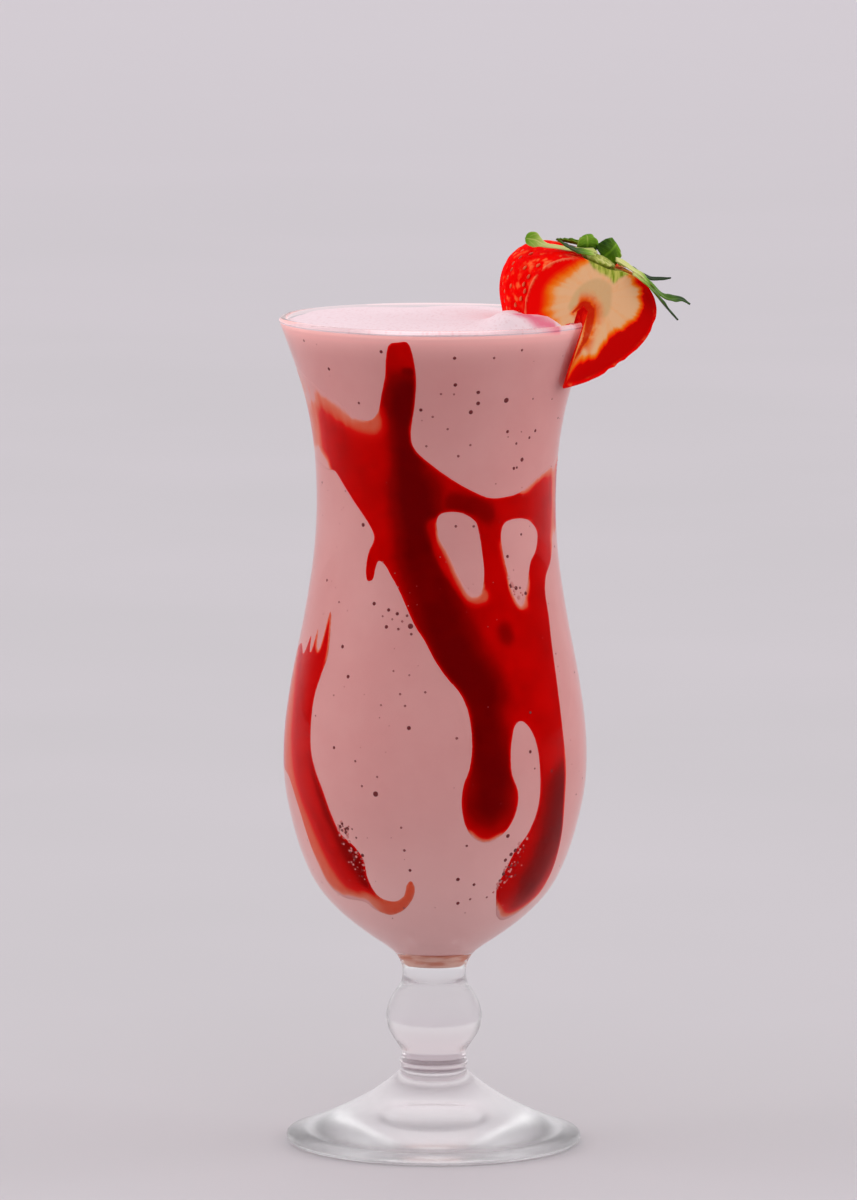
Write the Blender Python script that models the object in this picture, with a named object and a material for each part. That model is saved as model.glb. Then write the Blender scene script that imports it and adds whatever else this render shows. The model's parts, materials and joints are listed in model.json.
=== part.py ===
"""Yogurt milkshake in a stemmed hurricane glass, with sauce swirls and a strawberry.

Metres, +Z up. The origin is the middle of the foot's underside, and -Y is the front.
Lengths below are in millimetres and angles in degrees, turned into metres and radians
where a shape is made. Angles round the glass start at the front and grow to the right.
"""

from math import ceil, cos, degrees, hypot, pi, radians, sin, sqrt

import bmesh
import bpy
from mathutils import Matrix, Vector
from mathutils.geometry import delaunay_2d_cdt

MM = 0.001
GAP = 0.3                 # free space between pieces that touch

# glass: (height, radius) down its outer side, from under the lip to the neck
GLASS_HEIGHT = 206.0
SEGMENTS = 36
BOWL_OUTSIDE = [
    (200.0, 37.1), (193.0, 34.6), (184.0, 32.0), (173.0, 30.2), (160.0, 29.6), (147.0, 30.3),
    (132.0, 32.6), (116.0, 35.7), (103.0, 37.4), (91.0, 37.4), (80.0, 35.3), (71.0, 32.4),
    (64.0, 28.8), (58.0, 23.5), (53.0, 17.3), (49.5, 12.2), (47.2, 9.5),
]
STEM = [
    (44.0, 8.0), (40.5, 8.1), (38.4, 9.2), (36.8, 10.3), (34.0, 11.5), (31.0, 11.9), (27.8, 11.1),
    (24.8, 9.2), (22.8, 8.0), (21.4, 8.0), (20.2, 8.5), (18.6, 8.1),
]
FOOT_TOP = [
    (16.6, 9.8), (14.4, 12.6), (11.4, 17.0), (8.0, 23.4), (5.2, 29.4), (3.5, 34.0),
]
FOOT_RADIUS = 36.6
FOOT_EDGE = 1.5           # radius of the foot's rounded edge
FOOT_RECESS = 0.9         # hollow ring under the foot
RECESS_RADII = (10.0, 14.0, 26.0, 31.0)

# inner wall: (height, radius) from the bottom of the bowl up to the lip
BOWL_INSIDE = [
    (44.6, 5.0), (46.6, 6.7), (49.0, 8.7), (52.0, 12.3), (56.2, 17.8), (61.5, 23.4), (67.5, 28.0),
    (74.5, 31.2), (83.0, 33.7), (92.0, 35.1), (103.0, 35.1), (116.0, 33.4), (132.0, 30.3),
    (147.0, 28.0), (160.0, 27.3), (173.0, 27.9), (184.0, 29.7), (193.0, 32.3), (200.0, 34.9),
    (204.9, 36.9),
]
LIP_RADIUS = 1.1          # half the thickness of the rounded lip
RIM_RADIUS = 39.0

# drink
SAUCE_THICK = 1.2
POOL_TOP = 48.2           # sauce that ran to the bottom of the bowl
DRINK_BOTTOM = 48.6
DRINK_TOP = 204.7         # where the drink meets the wall
DRINK_HEAP = 2.0          # how much higher the middle stands
TOP_RINGS = (0.96, 0.88, 0.76, 0.6, 0.42, 0.22)
MOUND_LINE = ((19.0, -25.0), (33.0, -18.5))   # milkshake pushed up along the strawberry
MOUND_HEIGHT = 4.2
MOUND_SPREAD = 6.0
SHEET_GRID = 6.0          # size of the triangles inside a sauce sheet
EDGE_STEP = 3.6           # spacing of the points along a sauce outline
EDGE_MARGIN = 0.55        # share of the grid kept free along an outline
UNROLL_RADIUS = 35.1      # radius at which the wall is unrolled to lay out a sheet

# sauce on the inner wall: outlines as (degrees round the glass, height)
SWIRL = [
    (-15, 203.2), (-10.5, 202.6), (-8.5, 195), (-9.5, 188), (-12, 180), (-10, 176), (-1, 172),
    (9, 168.5), (18, 166), (28, 164), (38, 164), (48, 165), (60, 168), (77, 170.5),
    (92, 172), (108, 171), (122, 168), (137, 162), (150, 154), (160, 147), (165, 142),
    (164, 137), (157, 137), (149, 141), (143, 138), (141, 124), (140, 108), (142, 96),
    (140, 88), (134, 86), (129, 91), (129, 103), (131, 118), (130, 134), (126, 142),
    (118, 147), (111, 142), (109, 131), (106, 124), (101, 126), (101, 137), (98, 148),
    (90, 152), (81, 150), (74, 146), (67, 143), (64, 139), (64, 133), (62.5, 125), (61.5, 115),
    (61.5, 105), (63, 97), (64, 88), (68.5, 77.5), (71, 70), (71, 64.5), (64, 60.5), (53, 58.5),
    (42, 60), (35, 64), (32, 68), (34, 72), (37, 77), (42, 81), (45, 85.5), (46, 90),
    (45.5, 97), (44, 103), (41, 107), (37, 109), (34, 108), (32.5, 105.5), (31.5, 101.5),
    (32, 96.5), (35, 92), (35, 87.5), (32, 83), (26, 80), (21, 79.5), (16, 81), (12.5, 84),
    (10.5, 89), (11, 94), (13.5, 98.5), (14.5, 104), (14, 109.5), (12.5, 113.5), (9.5, 117),
    (5, 120), (0, 124), (-5, 129), (-10, 133), (-18, 141), (-22.5, 144.5), (-26, 147),
    (-29.5, 148), (-31, 146), (-32, 143.5), (-35.5, 143), (-37, 146), (-36, 150), (-33, 153.5),
    (-35, 156), (-40, 159), (-46, 162), (-53, 165.5), (-61, 169), (-69, 169), (-80, 170),
    (-92, 170), (-99, 164), (-101, 150), (-103, 139), (-109, 137), (-112, 144), (-111, 158),
    (-115, 168), (-122, 169), (-126, 158), (-127, 140), (-129, 122), (-133, 114), (-139, 115),
    (-141, 124), (-139, 142), (-139, 160), (-143, 171), (-151, 177), (-155, 184), (-151, 190),
    (-140, 193), (-125, 195), (-108, 196), (-90, 195), (-72, 192), (-59, 189), (-48, 186.5),
    (-41, 184), (-34, 183), (-28.5, 185), (-25.5, 189.5), (-22.5, 194.5), (-21, 199), (-19, 202.4),
]
SWIRL_HOLES = [
    [(2.5, 160), (8, 160.5), (14, 160), (20, 158), (22, 155), (23.5, 150), (24, 145), (22, 141),
     (17, 141), (11.5, 145), (7, 150), (2, 154.5), (0.5, 158)],
    [(38, 157.5), (47, 158), (55, 157), (61, 154), (59, 150), (53.5, 147), (50, 142.5),
     (44, 137.5), (40, 141), (37.5, 146), (35.5, 151), (35, 155)],
]
STREAK = [
    (-58.5, 134), (-56.5, 134), (-55, 130), (-54, 124), (-56.5, 119), (-59, 113.5), (-59, 107),
    (-57.5, 100.5), (-54.5, 96), (-50, 91), (-46.5, 85.5), (-43, 81), (-36.5, 78), (-33, 74.5),
    (-33, 69.5), (-30, 65.5), (-22, 64.5), (-16, 66), (-13.5, 69), (-11, 70), (-9.5, 68), (-11.5, 65),
    (-18, 62), (-27.5, 60.5), (-36.5, 61.5), (-42, 63.5), (-57, 64), (-65, 66.5), (-67.5, 72.5),
    (-69, 79), (-72, 86), (-79, 92), (-91, 94), (-102, 98), (-109, 107), (-106, 117),
    (-96, 122), (-84, 125), (-72, 124), (-66.5, 129), (-61, 127),
]

# strawberry: half-profile as (distance from the tip to the stalk end, radius)
BERRY_PROFILE = [
    (0.0, 0.0), (1.2, 3.4), (5.0, 8.4), (9.6, 12.8), (14.4, 16.4), (19.0, 19.0), (23.4, 20.0),
    (27.4, 19.6), (30.8, 17.6), (33.4, 14.2), (34.6, 10.4), (34.6, 6.6), (33.2, 3.0), (32.6, 0.0),
]
BERRY_SEGMENTS = 28
BERRY_MIDDLE = 22.5       # from the tip to the level of the cut face's middle
BERRY_FACE = (37.1, -17.2, 208.6)   # middle of the cut face
BERRY_TURN = 28.0         # the cut face looks to the right of the front
BERRY_NOD = 14.0          # and a little downwards
BERRY_LEAN = 18.5         # the stalk end leans to the right
BERRY_OFFCUT = 6.0        # the cut runs this far in front of the berry's axis
SLIT_FOOT = 170.0         # the slit follows the glass down to this height
NOTCH_DEPTH = 5.0         # the slit gapes at the cut face, this deep
NOTCH_LEAD = 3.0          # the cutter starts this far in front of the face
NOTCH = [                 # outline of the gape on the cut face: across, up
    (-5.0, -24.0), (-0.2, 0.4), (-1.6, 1.9), (-3.2, 0.8), (-3.8, -2.4), (-9.0, -10.7),
    (-15.5, -19.0), (-19.0, -24.0),
]

# calyx and sepals, in the strawberry's own frame: across, up its axis, towards the front
LEAF_THICK = 0.5
LEAF_LIFT = -0.3          # how far a leaf's near edge tips up
LEAF_WAVE = (0.4, 2.2)    # its fold's share that waves, and how fast
LEAF_TIP = 0.4            # least width
CALYX_SEGMENTS = 10
CALYX_PROFILE = [         # height up the axis and radius, over the top and back underneath
    (13.7, 0.0), (13.6, 1.4), (13.3, 3.0), (12.9, 4.4), (12.5, 4.7), (12.2, 4.3), (11.2, 2.6),
    (10.6, 0.0),
]
SEPALS = {
    "sepal_long": dict(path=[(-1.8, 14.3, -5.5), (-7.5, 13.1, -4.8), (-13.2, 12.3, -4.6),
                             (-16.8, 11.8, -5.0), (-19.4, 12.1, -5.4), (-21.8, 11.7, -6.0)],
                       width=(2.0, 1.7, 1.2, 1.6, 3.8, 3.0), fold=0.3,
                       sides=((0.0, 1.0, 0.2), (-0.3, 0.4, 1.0))),
    "sepal_dark": dict(path=[(-3.6, 13.9, -2.9), (-9.2, 13.5, -1.8), (-13.2, 13.9, -1.2),
                             (-16.0, 14.8, -1.0)],
                       width=(2.0, 2.4, 1.8, 0.4), fold=0.3),
    "sepal_curl_left": dict(path=[(-3.2, 14.25, -7.3), (-4.2, 15.2, -6.9), (-4.8, 16.6, -6.6),
                                  (-5.0, 16.8, -7.8), (-4.7, 15.9, -8.7)],
                            width=(3.4, 6.8, 5.6, 3.8, 1.6), fold=0.2,
                            sides=((0.95, 0.0, 0.32), (0.95, 0.0, 0.32))),
    "sepal_curl_right": dict(path=[(1.8, 14.4, -7.2), (2.4, 15.4, -6.8), (2.9, 16.6, -6.5),
                                   (3.1, 16.8, -8.0), (3.0, 15.8, -9.0)],
                             width=(3.6, 7.6, 6.2, 4.2, 1.8), fold=0.2,
                             sides=((0.92, 0.0, -0.39), (0.92, 0.0, -0.39))),
    "sepal_thin": dict(path=[(5.8, 13.2, -5.2), (9.4, 13.0, -6.6), (13.0, 12.6, -7.5),
                             (18.6, 11.8, -8.3), (24.3, 13.4, -9.0)],
                       width=(2.0, 1.8, 1.8, 1.6, 0.5), fold=0.3),
    "sepal_main": dict(path=[(3.2, 14.1, -2.9), (10.1, 12.9, -2.0), (14.2, 11.4, -1.8),
                             (20.6, 9.3, -2.0), (24.6, 10.1, -2.4), (28.3, 9.7, -2.6)],
                       width=(2.4, 3.0, 2.8, 2.8, 2.2, 0.5), fold=0.5),
    "sepal_low": dict(path=[(6.6, 12.9, 1.3), (12.4, 11.2, 1.6), (18.8, 8.1, 1.2),
                            (24.8, 5.5, 0.4)],
                      width=(1.4, 2.2, 2.6, 0.5), fold=0.4),
    "sepal_back": dict(path=[(-0.5, 14.4, -9.4), (-2.2, 13.4, -15.0), (-3.6, 11.4, -19.8)],
                       width=(2.0, 4.0, 0.6), fold=0.4, lift=0.35),
    "sepal_back_left": dict(path=[(-3.8, 14.0, -9.4), (-5.6, 13.3, -12.2), (-7.0, 12.4, -15.6)],
                            width=(2.0, 3.4, 0.6), fold=0.4, lift=0.35),
    "sepal_back_right": dict(path=[(2.8, 14.4, -9.6), (7.4, 13.1, -13.6), (11.2, 10.9, -17.0)],
                             width=(2.0, 3.8, 0.6), fold=0.4, lift=0.35),
}


def clear_scene():
    for scene_object in list(bpy.data.objects):
        bpy.data.objects.remove(scene_object, do_unlink=True)


def material(name, colour, roughness, alpha=1.0):
    """A Principled finish; alpha below 1 is a clear one."""
    finish = bpy.data.materials.new(name)
    finish.use_nodes = True
    shader = finish.node_tree.nodes["Principled BSDF"]
    shader.inputs["Base Color"].default_value = (*colour, 1.0)
    shader.inputs["Roughness"].default_value = roughness
    shader.inputs["Metallic"].default_value = 0.0
    shader.inputs["Alpha"].default_value = alpha
    finish.diffuse_color = (*colour, alpha)
    return finish


def new_object(name, bm, finish):
    """Turn a bmesh, in millimetres, into a smooth-shaded object in metres."""
    bmesh.ops.scale(bm, vec=(MM, MM, MM), verts=bm.verts)
    mesh = bpy.data.meshes.new(name)
    bm.to_mesh(mesh)
    bm.free()
    mesh.materials.append(finish)
    mesh.shade_smooth()
    mesh.set_sharp_from_angle(angle=radians(35))
    made = bpy.data.objects.new(name, mesh)
    bpy.context.collection.objects.link(made)
    return made


def cutter(name, bm, finish):
    """An object that only cuts others: drawn as wire and not rendered."""
    made = new_object(name, bm, finish)
    made.hide_render = True
    made.display_type = "WIRE"
    return made


def cut(target, tool):
    boolean = target.modifiers.new("cut_" + tool.name, "BOOLEAN")
    boolean.operation = "DIFFERENCE"
    boolean.solver = "EXACT"
    boolean.object = tool


def curve_point(before, start, end, after, t):
    """A point of the Catmull-Rom curve between start and end."""
    values = []
    for a, b, c, d in zip(before, start, end, after):
        values.append(0.5 * (2 * b + (c - a) * t + (2 * a - 5 * b + 4 * c - d) * t * t
                             + (3 * b - a - 3 * c + d) * t ** 3))
    return tuple(values)


def smooth_line(points, steps):
    """An open curve through the points, with some steps between each pair."""
    line = []
    for i in range(len(points) - 1):
        before = points[max(i - 1, 0)]
        after = points[min(i + 2, len(points) - 1)]
        for k in range(steps):
            line.append(curve_point(before, points[i], points[i + 1], after, k / steps))
    line.append(tuple(points[-1]))
    return line


def smooth_loop(points, spacing):
    """A closed curve through the points, with points about a spacing apart."""
    loop = []
    count = len(points)
    for i in range(count):
        before, start = points[i - 1], points[i]
        end, after = points[(i + 1) % count], points[(i + 2) % count]
        steps = max(1, round(hypot(end[0] - start[0], end[1] - start[1]) / spacing))
        for k in range(steps):
            loop.append(curve_point(before, start, end, after, k / steps))
    return loop


def turned(profile, segments):
    """Spin (height, radius) points round the Z axis into a closed body."""
    bm = bmesh.new()
    line = [bm.verts.new((radius, 0.0, height)) for height, radius in profile]
    edges = [bm.edges.new(pair) for pair in zip(line, line[1:])]
    bmesh.ops.spin(bm, geom=line + edges, cent=(0, 0, 0), axis=(0, 0, 1), angle=2 * pi,
                   steps=segments, use_merge=True)
    bmesh.ops.remove_doubles(bm, verts=bm.verts, dist=0.001)
    bmesh.ops.recalc_face_normals(bm, faces=bm.faces)
    return bm


# glass

def lip(clearance=0.0):
    """The rounded top edge, from inside to outside."""
    middle = RIM_RADIUS - LIP_RADIUS
    size = LIP_RADIUS + clearance
    arc = []
    for k in range(5):
        angle = pi * (0.95 - 0.9 * k / 4)
        arc.append((GLASS_HEIGHT - LIP_RADIUS + size * sin(angle), middle + size * cos(angle)))
    return arc


def glass_profile():
    edge_middle = (FOOT_EDGE, FOOT_RADIUS - FOOT_EDGE)
    foot_edge = []
    for k in range(5):
        angle = radians(70 - 160 * k / 4)
        foot_edge.append((edge_middle[0] + FOOT_EDGE * sin(angle),
                          edge_middle[1] + FOOT_EDGE * cos(angle)))
    r1, r2, r3, r4 = RECESS_RADII
    underside = [(0.0, r4), (FOOT_RECESS, r3), (FOOT_RECESS, r2), (0.0, r1), (0.0, 0.0)]
    outside = BOWL_OUTSIDE + STEM + FOOT_TOP
    return [(BOWL_INSIDE[0][0], 0.0)] + BOWL_INSIDE + lip() + outside + foot_edge + underside


def make_glass():
    finish = material("clear_glass", (0.93, 0.95, 0.96), 0.03, alpha=0.35)
    return new_object("glass", turned(glass_profile(), SEGMENTS), finish)


# wall of the bowl, as the drink and the sauce meet it

def ring_slope(number):
    """Slope of the inner wall at one of its rings."""
    low = BOWL_INSIDE[max(number - 1, 0)]
    high = BOWL_INSIDE[min(number + 1, len(BOWL_INSIDE) - 1)]
    return (high[1] - low[1]) / (high[0] - low[0])


def inner_wall(height):
    """Radius of the inner wall at a height, and its slope there."""
    rings = len(BOWL_INSIDE) - 1
    number = next((i for i in range(rings) if height <= BOWL_INSIDE[i + 1][0]), rings - 1)
    (low, r_low), (high, r_high) = BOWL_INSIDE[number:number + 2]
    share = (height - low) / (high - low)
    slope = ring_slope(number) * (1 - share) + ring_slope(number + 1) * share
    return r_low + (r_high - r_low) * share, slope


def off_wall(height, depth):
    """(height, radius) of the point a depth inside the wall, square to it."""
    radius, slope = inner_wall(height)
    length = sqrt(1 + slope * slope)
    return height + depth * slope / length, radius - depth / length


def around(angle, height, radius):
    turn = radians(angle)
    return Vector((radius * sin(turn), -radius * cos(turn), height))


# milkshake

def drink_surface(x, y):
    """Height of the wavy top of the drink."""
    reach = hypot(x, y) / RIM_RADIUS
    level = DRINK_TOP + DRINK_HEAP * (1 - reach * reach)
    ripple = 0.35 * sin(x / 5.5 + 1.1 * sin(y / 9.0)) + 0.3 * sin(y / 4.2 - x / 11.0)
    start, end = Vector(MOUND_LINE[0]), Vector(MOUND_LINE[1])
    along = (Vector((x, y)) - start).dot(end - start) / (end - start).length_squared
    nearest = start.lerp(end, min(1.0, max(0.0, along)))
    away = (Vector((x, y)) - nearest).length / MOUND_SPREAD
    mound = MOUND_HEIGHT / (1 + away ** 4)
    edge = min(1.0, max(0.0, (0.945 - reach) / 0.05))
    return level + edge * (ripple + mound)


def make_milkshake():
    finish = material("milkshake", (0.62, 0.32, 0.33), 0.55)
    wall = [off_wall(height, GAP) for height, _ in BOWL_INSIDE if height > DRINK_BOTTOM + 0.2]
    wall = wall[:-1] + [off_wall(DRINK_TOP, GAP)]
    foot = (DRINK_BOTTOM, off_wall(DRINK_BOTTOM, GAP)[1])
    rings = [(DRINK_TOP, wall[-1][1] * share) for share in TOP_RINGS]
    profile = [(DRINK_BOTTOM, 0.0), foot] + wall + rings + [(DRINK_TOP, 0.0)]
    bm = turned(profile, SEGMENTS)
    for vert in bm.verts:
        if vert.co.z > DRINK_TOP - 0.01 and hypot(vert.co.x, vert.co.y) < wall[-1][1] - 0.5:
            vert.co.z = drink_surface(vert.co.x, vert.co.y)
    return new_object("milkshake", bm, finish)


def make_pool():
    """The sauce that lies in the bottom of the bowl."""
    finish = material("sauce_pool", (0.42, 0.12, 0.09), 0.25)
    floor_height = BOWL_INSIDE[0][0] + GAP
    wall = [off_wall(height, GAP) for height in (45.2, 46.6, POOL_TOP)]
    profile = [(floor_height, 0.0), (floor_height, BOWL_INSIDE[0][1] - GAP)] + wall
    return new_object("sauce_pool", turned(profile + [(wall[-1][0], 0.0)], SEGMENTS), finish)


# sauce sheets on the wall

def flat(angle, height):
    """A wall point unrolled to millimetres, for laying out triangles."""
    return radians(angle) * UNROLL_RADIUS, height


def unflat(across, height):
    return degrees(across / UNROLL_RADIUS), height


def grown(loop, amount):
    """Move a loop square to itself: outwards if it runs anticlockwise."""
    moved = []
    for i, point in enumerate(loop):
        ahead, behind = loop[(i + 1) % len(loop)], loop[i - 1]
        run = Vector((ahead[0] - behind[0], ahead[1] - behind[1])).normalized()
        moved.append((point[0] + amount * run.y, point[1] - amount * run.x))
    return moved


def turning(loop):
    """Signed area: positive for an anticlockwise loop."""
    return sum(a[0] * b[1] - b[0] * a[1] for a, b in zip(loop, loop[1:] + loop[:1])) / 2


def inside(loops, x, y):
    """Whether a point is in the outline and in none of its holes."""
    crossings = 0
    for loop in loops:
        for (x0, y0), (x1, y1) in zip(loop, loop[1:] + loop[:1]):
            if (y0 > y) != (y1 > y) and x < x0 + (y - y0) / (y1 - y0) * (x1 - x0):
                crossings += 1
    return crossings % 2 == 1


def edge_distance(loops, x, y):
    return min(hypot(px - x, py - y) for loop in loops for px, py in loop)


def sheet_layout(outline, holes, grow):
    """Flat triangles of a sauce sheet, with the loops that bound it."""
    loops = []
    for number, points in enumerate([outline] + holes):
        loop = smooth_loop([flat(*point) for point in points], EDGE_STEP)
        wants_positive = number == 0
        if (turning(loop) > 0) != wants_positive:
            loop.reverse()
        loops.append(grown(loop, grow))
    points = [point for loop in loops for point in loop]
    edges, start = [], 0
    for loop in loops:
        edges += [(start + i, start + (i + 1) % len(loop)) for i in range(len(loop))]
        start += len(loop)
    low_x, high_x = min(p[0] for p in points), max(p[0] for p in points)
    low_y, high_y = min(p[1] for p in points), max(p[1] for p in points)
    row_step = SHEET_GRID * sqrt(3) / 2
    for row in range(ceil((high_y - low_y) / row_step)):
        for column in range(ceil((high_x - low_x) / SHEET_GRID)):
            x = low_x + (column + 0.5 * (row % 2)) * SHEET_GRID
            y = low_y + row * row_step
            if inside(loops, x, y) and edge_distance(loops, x, y) > EDGE_MARGIN * SHEET_GRID:
                points.append((x, y))
    laid = delaunay_2d_cdt([Vector(p) for p in points], edges, [], 0, 0.0001)
    spots, faces = laid[0], laid[2]
    kept = []
    for face in faces:
        middle = sum((spots[i] for i in face), Vector((0.0, 0.0))) / len(face)
        if inside(loops, middle.x, middle.y):
            kept.append(face)
    return spots, kept


def sheet(outline, holes, near, far, grow=0.0):
    """A sheet wrapped on the wall, between two depths inside it."""
    spots, faces = sheet_layout(outline, holes, grow)
    bm = bmesh.new()
    layers = []
    for depth in (near, far):
        layer = []
        for spot in spots:
            angle, height = unflat(spot.x, spot.y)
            level, radius = off_wall(height, depth)
            layer.append(bm.verts.new(around(angle, level, radius)))
        layers.append(layer)
    rim = {}
    for face in faces:
        bm.faces.new([layers[0][i] for i in face])
        bm.faces.new([layers[1][i] for i in reversed(face)])
        for a, b in zip(face, face[1:] + face[:1]):
            if (b, a) in rim:
                del rim[(b, a)]
            else:
                rim[(a, b)] = True
    for a, b in rim:
        bm.faces.new([layers[0][b], layers[0][a], layers[1][a], layers[1][b]])
    loose = [vert for vert in bm.verts if not vert.link_faces]
    bmesh.ops.delete(bm, geom=loose, context="VERTS")
    bmesh.ops.recalc_face_normals(bm, faces=bm.faces)
    bmesh.ops.triangulate(bm, faces=bm.faces)
    return bm


def make_sauce(milkshake):
    """Each sauce sheet, and the pocket it lies in."""
    finish = material("strawberry_sauce", (0.35, 0.01, 0.01), 0.2)
    outlines = {"sauce_swirl": (SWIRL, SWIRL_HOLES), "sauce_streak": (STREAK, [])}
    for name, (outline, holes) in outlines.items():
        new_object(name, sheet(outline, holes, GAP, GAP + SAUCE_THICK), finish)
        pocket = sheet(outline, holes, -GAP, 3 * GAP + SAUCE_THICK, grow=GAP)
        cut(milkshake, cutter(name + "_pocket", pocket, finish))


# strawberry

def berry_frame():
    """Across, axis and front directions of the strawberry, at its cut face's middle."""
    turn = Matrix.Rotation(radians(BERRY_TURN), 4, "Z")
    nod = Matrix.Rotation(radians(BERRY_NOD), 4, "X")
    lean = Matrix.Rotation(radians(BERRY_LEAN), 4, "Y")
    return Matrix.Translation(BERRY_FACE) @ turn @ nod @ lean


def berry_body(grow):
    """The cut strawberry, its skin and cut face moved out by a distance."""
    profile = []
    count = len(BERRY_PROFILE)
    for i, (along, radius) in enumerate(BERRY_PROFILE):
        before = BERRY_PROFILE[max(i - 1, 0)]
        after = BERRY_PROFILE[min(i + 1, count - 1)]
        run = Vector((after[0] - before[0], after[1] - before[1])).normalized()
        on_axis = i in (0, count - 1)
        shift = (-grow if i == 0 else grow) if on_axis else -grow * run.y
        out = 0.0 if on_axis else grow * run.x
        profile.append((along - BERRY_MIDDLE + shift, radius + out))
    bm = turned(profile, BERRY_SEGMENTS)
    bmesh.ops.translate(bm, vec=(0, BERRY_OFFCUT, 0), verts=bm.verts)
    sliced = bmesh.ops.bisect_plane(bm, geom=bm.verts[:] + bm.edges[:] + bm.faces[:],
                                    plane_co=(0, -grow, 0), plane_no=(0, -1, 0), clear_outer=True)
    rim = [item for item in sliced["geom_cut"] if isinstance(item, bmesh.types.BMEdge)]
    face = bmesh.ops.edgeloop_fill(bm, edges=rim)["faces"]
    bmesh.ops.triangulate(bm, faces=face)
    bmesh.ops.recalc_face_normals(bm, faces=bm.faces)
    bmesh.ops.transform(bm, matrix=berry_frame(), verts=bm.verts)
    return bm


def slit_ring():
    """The space that the glass's wall takes in the strawberry, with clearance."""
    outside = [(height, radius + GAP) for height, radius in BOWL_OUTSIDE if height > SLIT_FOOT]
    inside_wall = [(height, radius - GAP) for height, radius in BOWL_INSIDE if height > SLIT_FOOT]
    ring = inside_wall + lip(GAP) + outside
    return turned(ring + ring[:1], SEGMENTS)


def slit_notch():
    """The gape of the slit at the cut face, a slot square to that face."""
    bm = bmesh.new()
    outline = [bm.verts.new((across, -NOTCH_LEAD, up)) for across, up in NOTCH]
    front = bm.faces.new(outline)
    pulled = bmesh.ops.extrude_face_region(bm, geom=[front])["geom"]
    moved = [item for item in pulled if isinstance(item, bmesh.types.BMVert)]
    bmesh.ops.translate(bm, vec=(0, NOTCH_DEPTH + NOTCH_LEAD, 0), verts=moved)
    bmesh.ops.recalc_face_normals(bm, faces=bm.faces)
    unlean = Matrix.Rotation(radians(-BERRY_LEAN), 4, "Y")
    bmesh.ops.transform(bm, matrix=berry_frame() @ unlean, verts=bm.verts)
    return bm


def make_strawberry(milkshake):
    finish = material("strawberry_flesh", (0.75, 0.02, 0.01), 0.3)
    berry = new_object("strawberry", berry_body(0.0), finish)
    cut(berry, cutter("slit_ring", slit_ring(), finish))
    cut(berry, cutter("slit_notch", slit_notch(), finish))
    cut(milkshake, cutter("berry_space", berry_body(GAP), finish))


def leaf(path, width, fold, lift=LEAF_LIFT, sides=None):
    """A thin wavy leaf along a path: both faces are split into triangles alike."""
    middle = [Vector(point) for point in smooth_line(path, 2)]
    widths = [value[0] for value in smooth_line([(value,) for value in width], 2)]
    bm = bmesh.new()
    rows = []
    for i, spot in enumerate(middle):
        ahead = middle[min(i + 1, len(middle) - 1)]
        behind = middle[max(i - 1, 0)]
        run = (ahead - behind).normalized()
        side = run.cross(Vector((0, lift, 1)))
        if sides:
            side = Vector(sides[0]).lerp(Vector(sides[1]), i / (len(middle) - 1))
        side = (side - run * side.dot(run)).normalized()
        up = side.cross(run).normalized()
        half = max(widths[i], LEAF_TIP) / 2
        rise = fold * half / 2 * (1 + LEAF_WAVE[0] * sin(LEAF_WAVE[1] * i))
        row = []
        for place in (-1, 0, 1):
            point = spot + side * half * place + up * rise * abs(place)
            row.append((bm.verts.new(point + up * LEAF_THICK / 2),
                        bm.verts.new(point - up * LEAF_THICK / 2)))
        rows.append(row)
    for first, second in zip(rows, rows[1:]):
        for k in range(2):
            for layer in (0, 1):
                a, b = first[k][layer], first[k + 1][layer]
                c, d = second[k + 1][layer], second[k][layer]
                bm.faces.new((a, b, c))
                bm.faces.new((a, c, d))
        for k in (0, 2):
            bm.faces.new((first[k][0], first[k][1], second[k][1], second[k][0]))
    for row in (rows[0], rows[-1]):
        for k in range(2):
            bm.faces.new((row[k][0], row[k + 1][0], row[k + 1][1], row[k][1]))
    bmesh.ops.recalc_face_normals(bm, faces=bm.faces)
    bmesh.ops.triangulate(bm, faces=bm.faces)
    bmesh.ops.transform(bm, matrix=berry_frame(), verts=bm.verts)
    return bm


def make_calyx():
    """The green stalk end and its sepals, each clear of the next."""
    finish = material("calyx_green", (0.28, 0.36, 0.06), 0.6)
    bm = turned(CALYX_PROFILE, CALYX_SEGMENTS)
    bmesh.ops.translate(bm, vec=(0, BERRY_OFFCUT, 0), verts=bm.verts)
    bmesh.ops.transform(bm, matrix=berry_frame(), verts=bm.verts)
    new_object("calyx", bm, finish)
    green = material("leaf_green", (0.10, 0.22, 0.02), 0.5)
    for name, shape in SEPALS.items():
        shape = dict(shape, path=[(x, -y, z) for x, z, y in shape["path"]])
        new_object(name, leaf(**shape), green)


def main():
    clear_scene()
    make_glass()
    milkshake = make_milkshake()
    make_pool()
    make_sauce(milkshake)
    make_strawberry(milkshake)
    make_calyx()


main()
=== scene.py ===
# Yogurt milkshake in a stemmed hurricane glass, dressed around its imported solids.
# Lengths in the dictionaries are millimetres, and angles are degrees round the glass
# from the front, growing to the right. Meshes are in metres.
import json
from math import ceil, cos, hypot, pi, radians, sin, sqrt

import bpy
import numpy as np
from mathutils import Matrix, Vector
from mathutils.geometry import delaunay_2d_cdt

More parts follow.
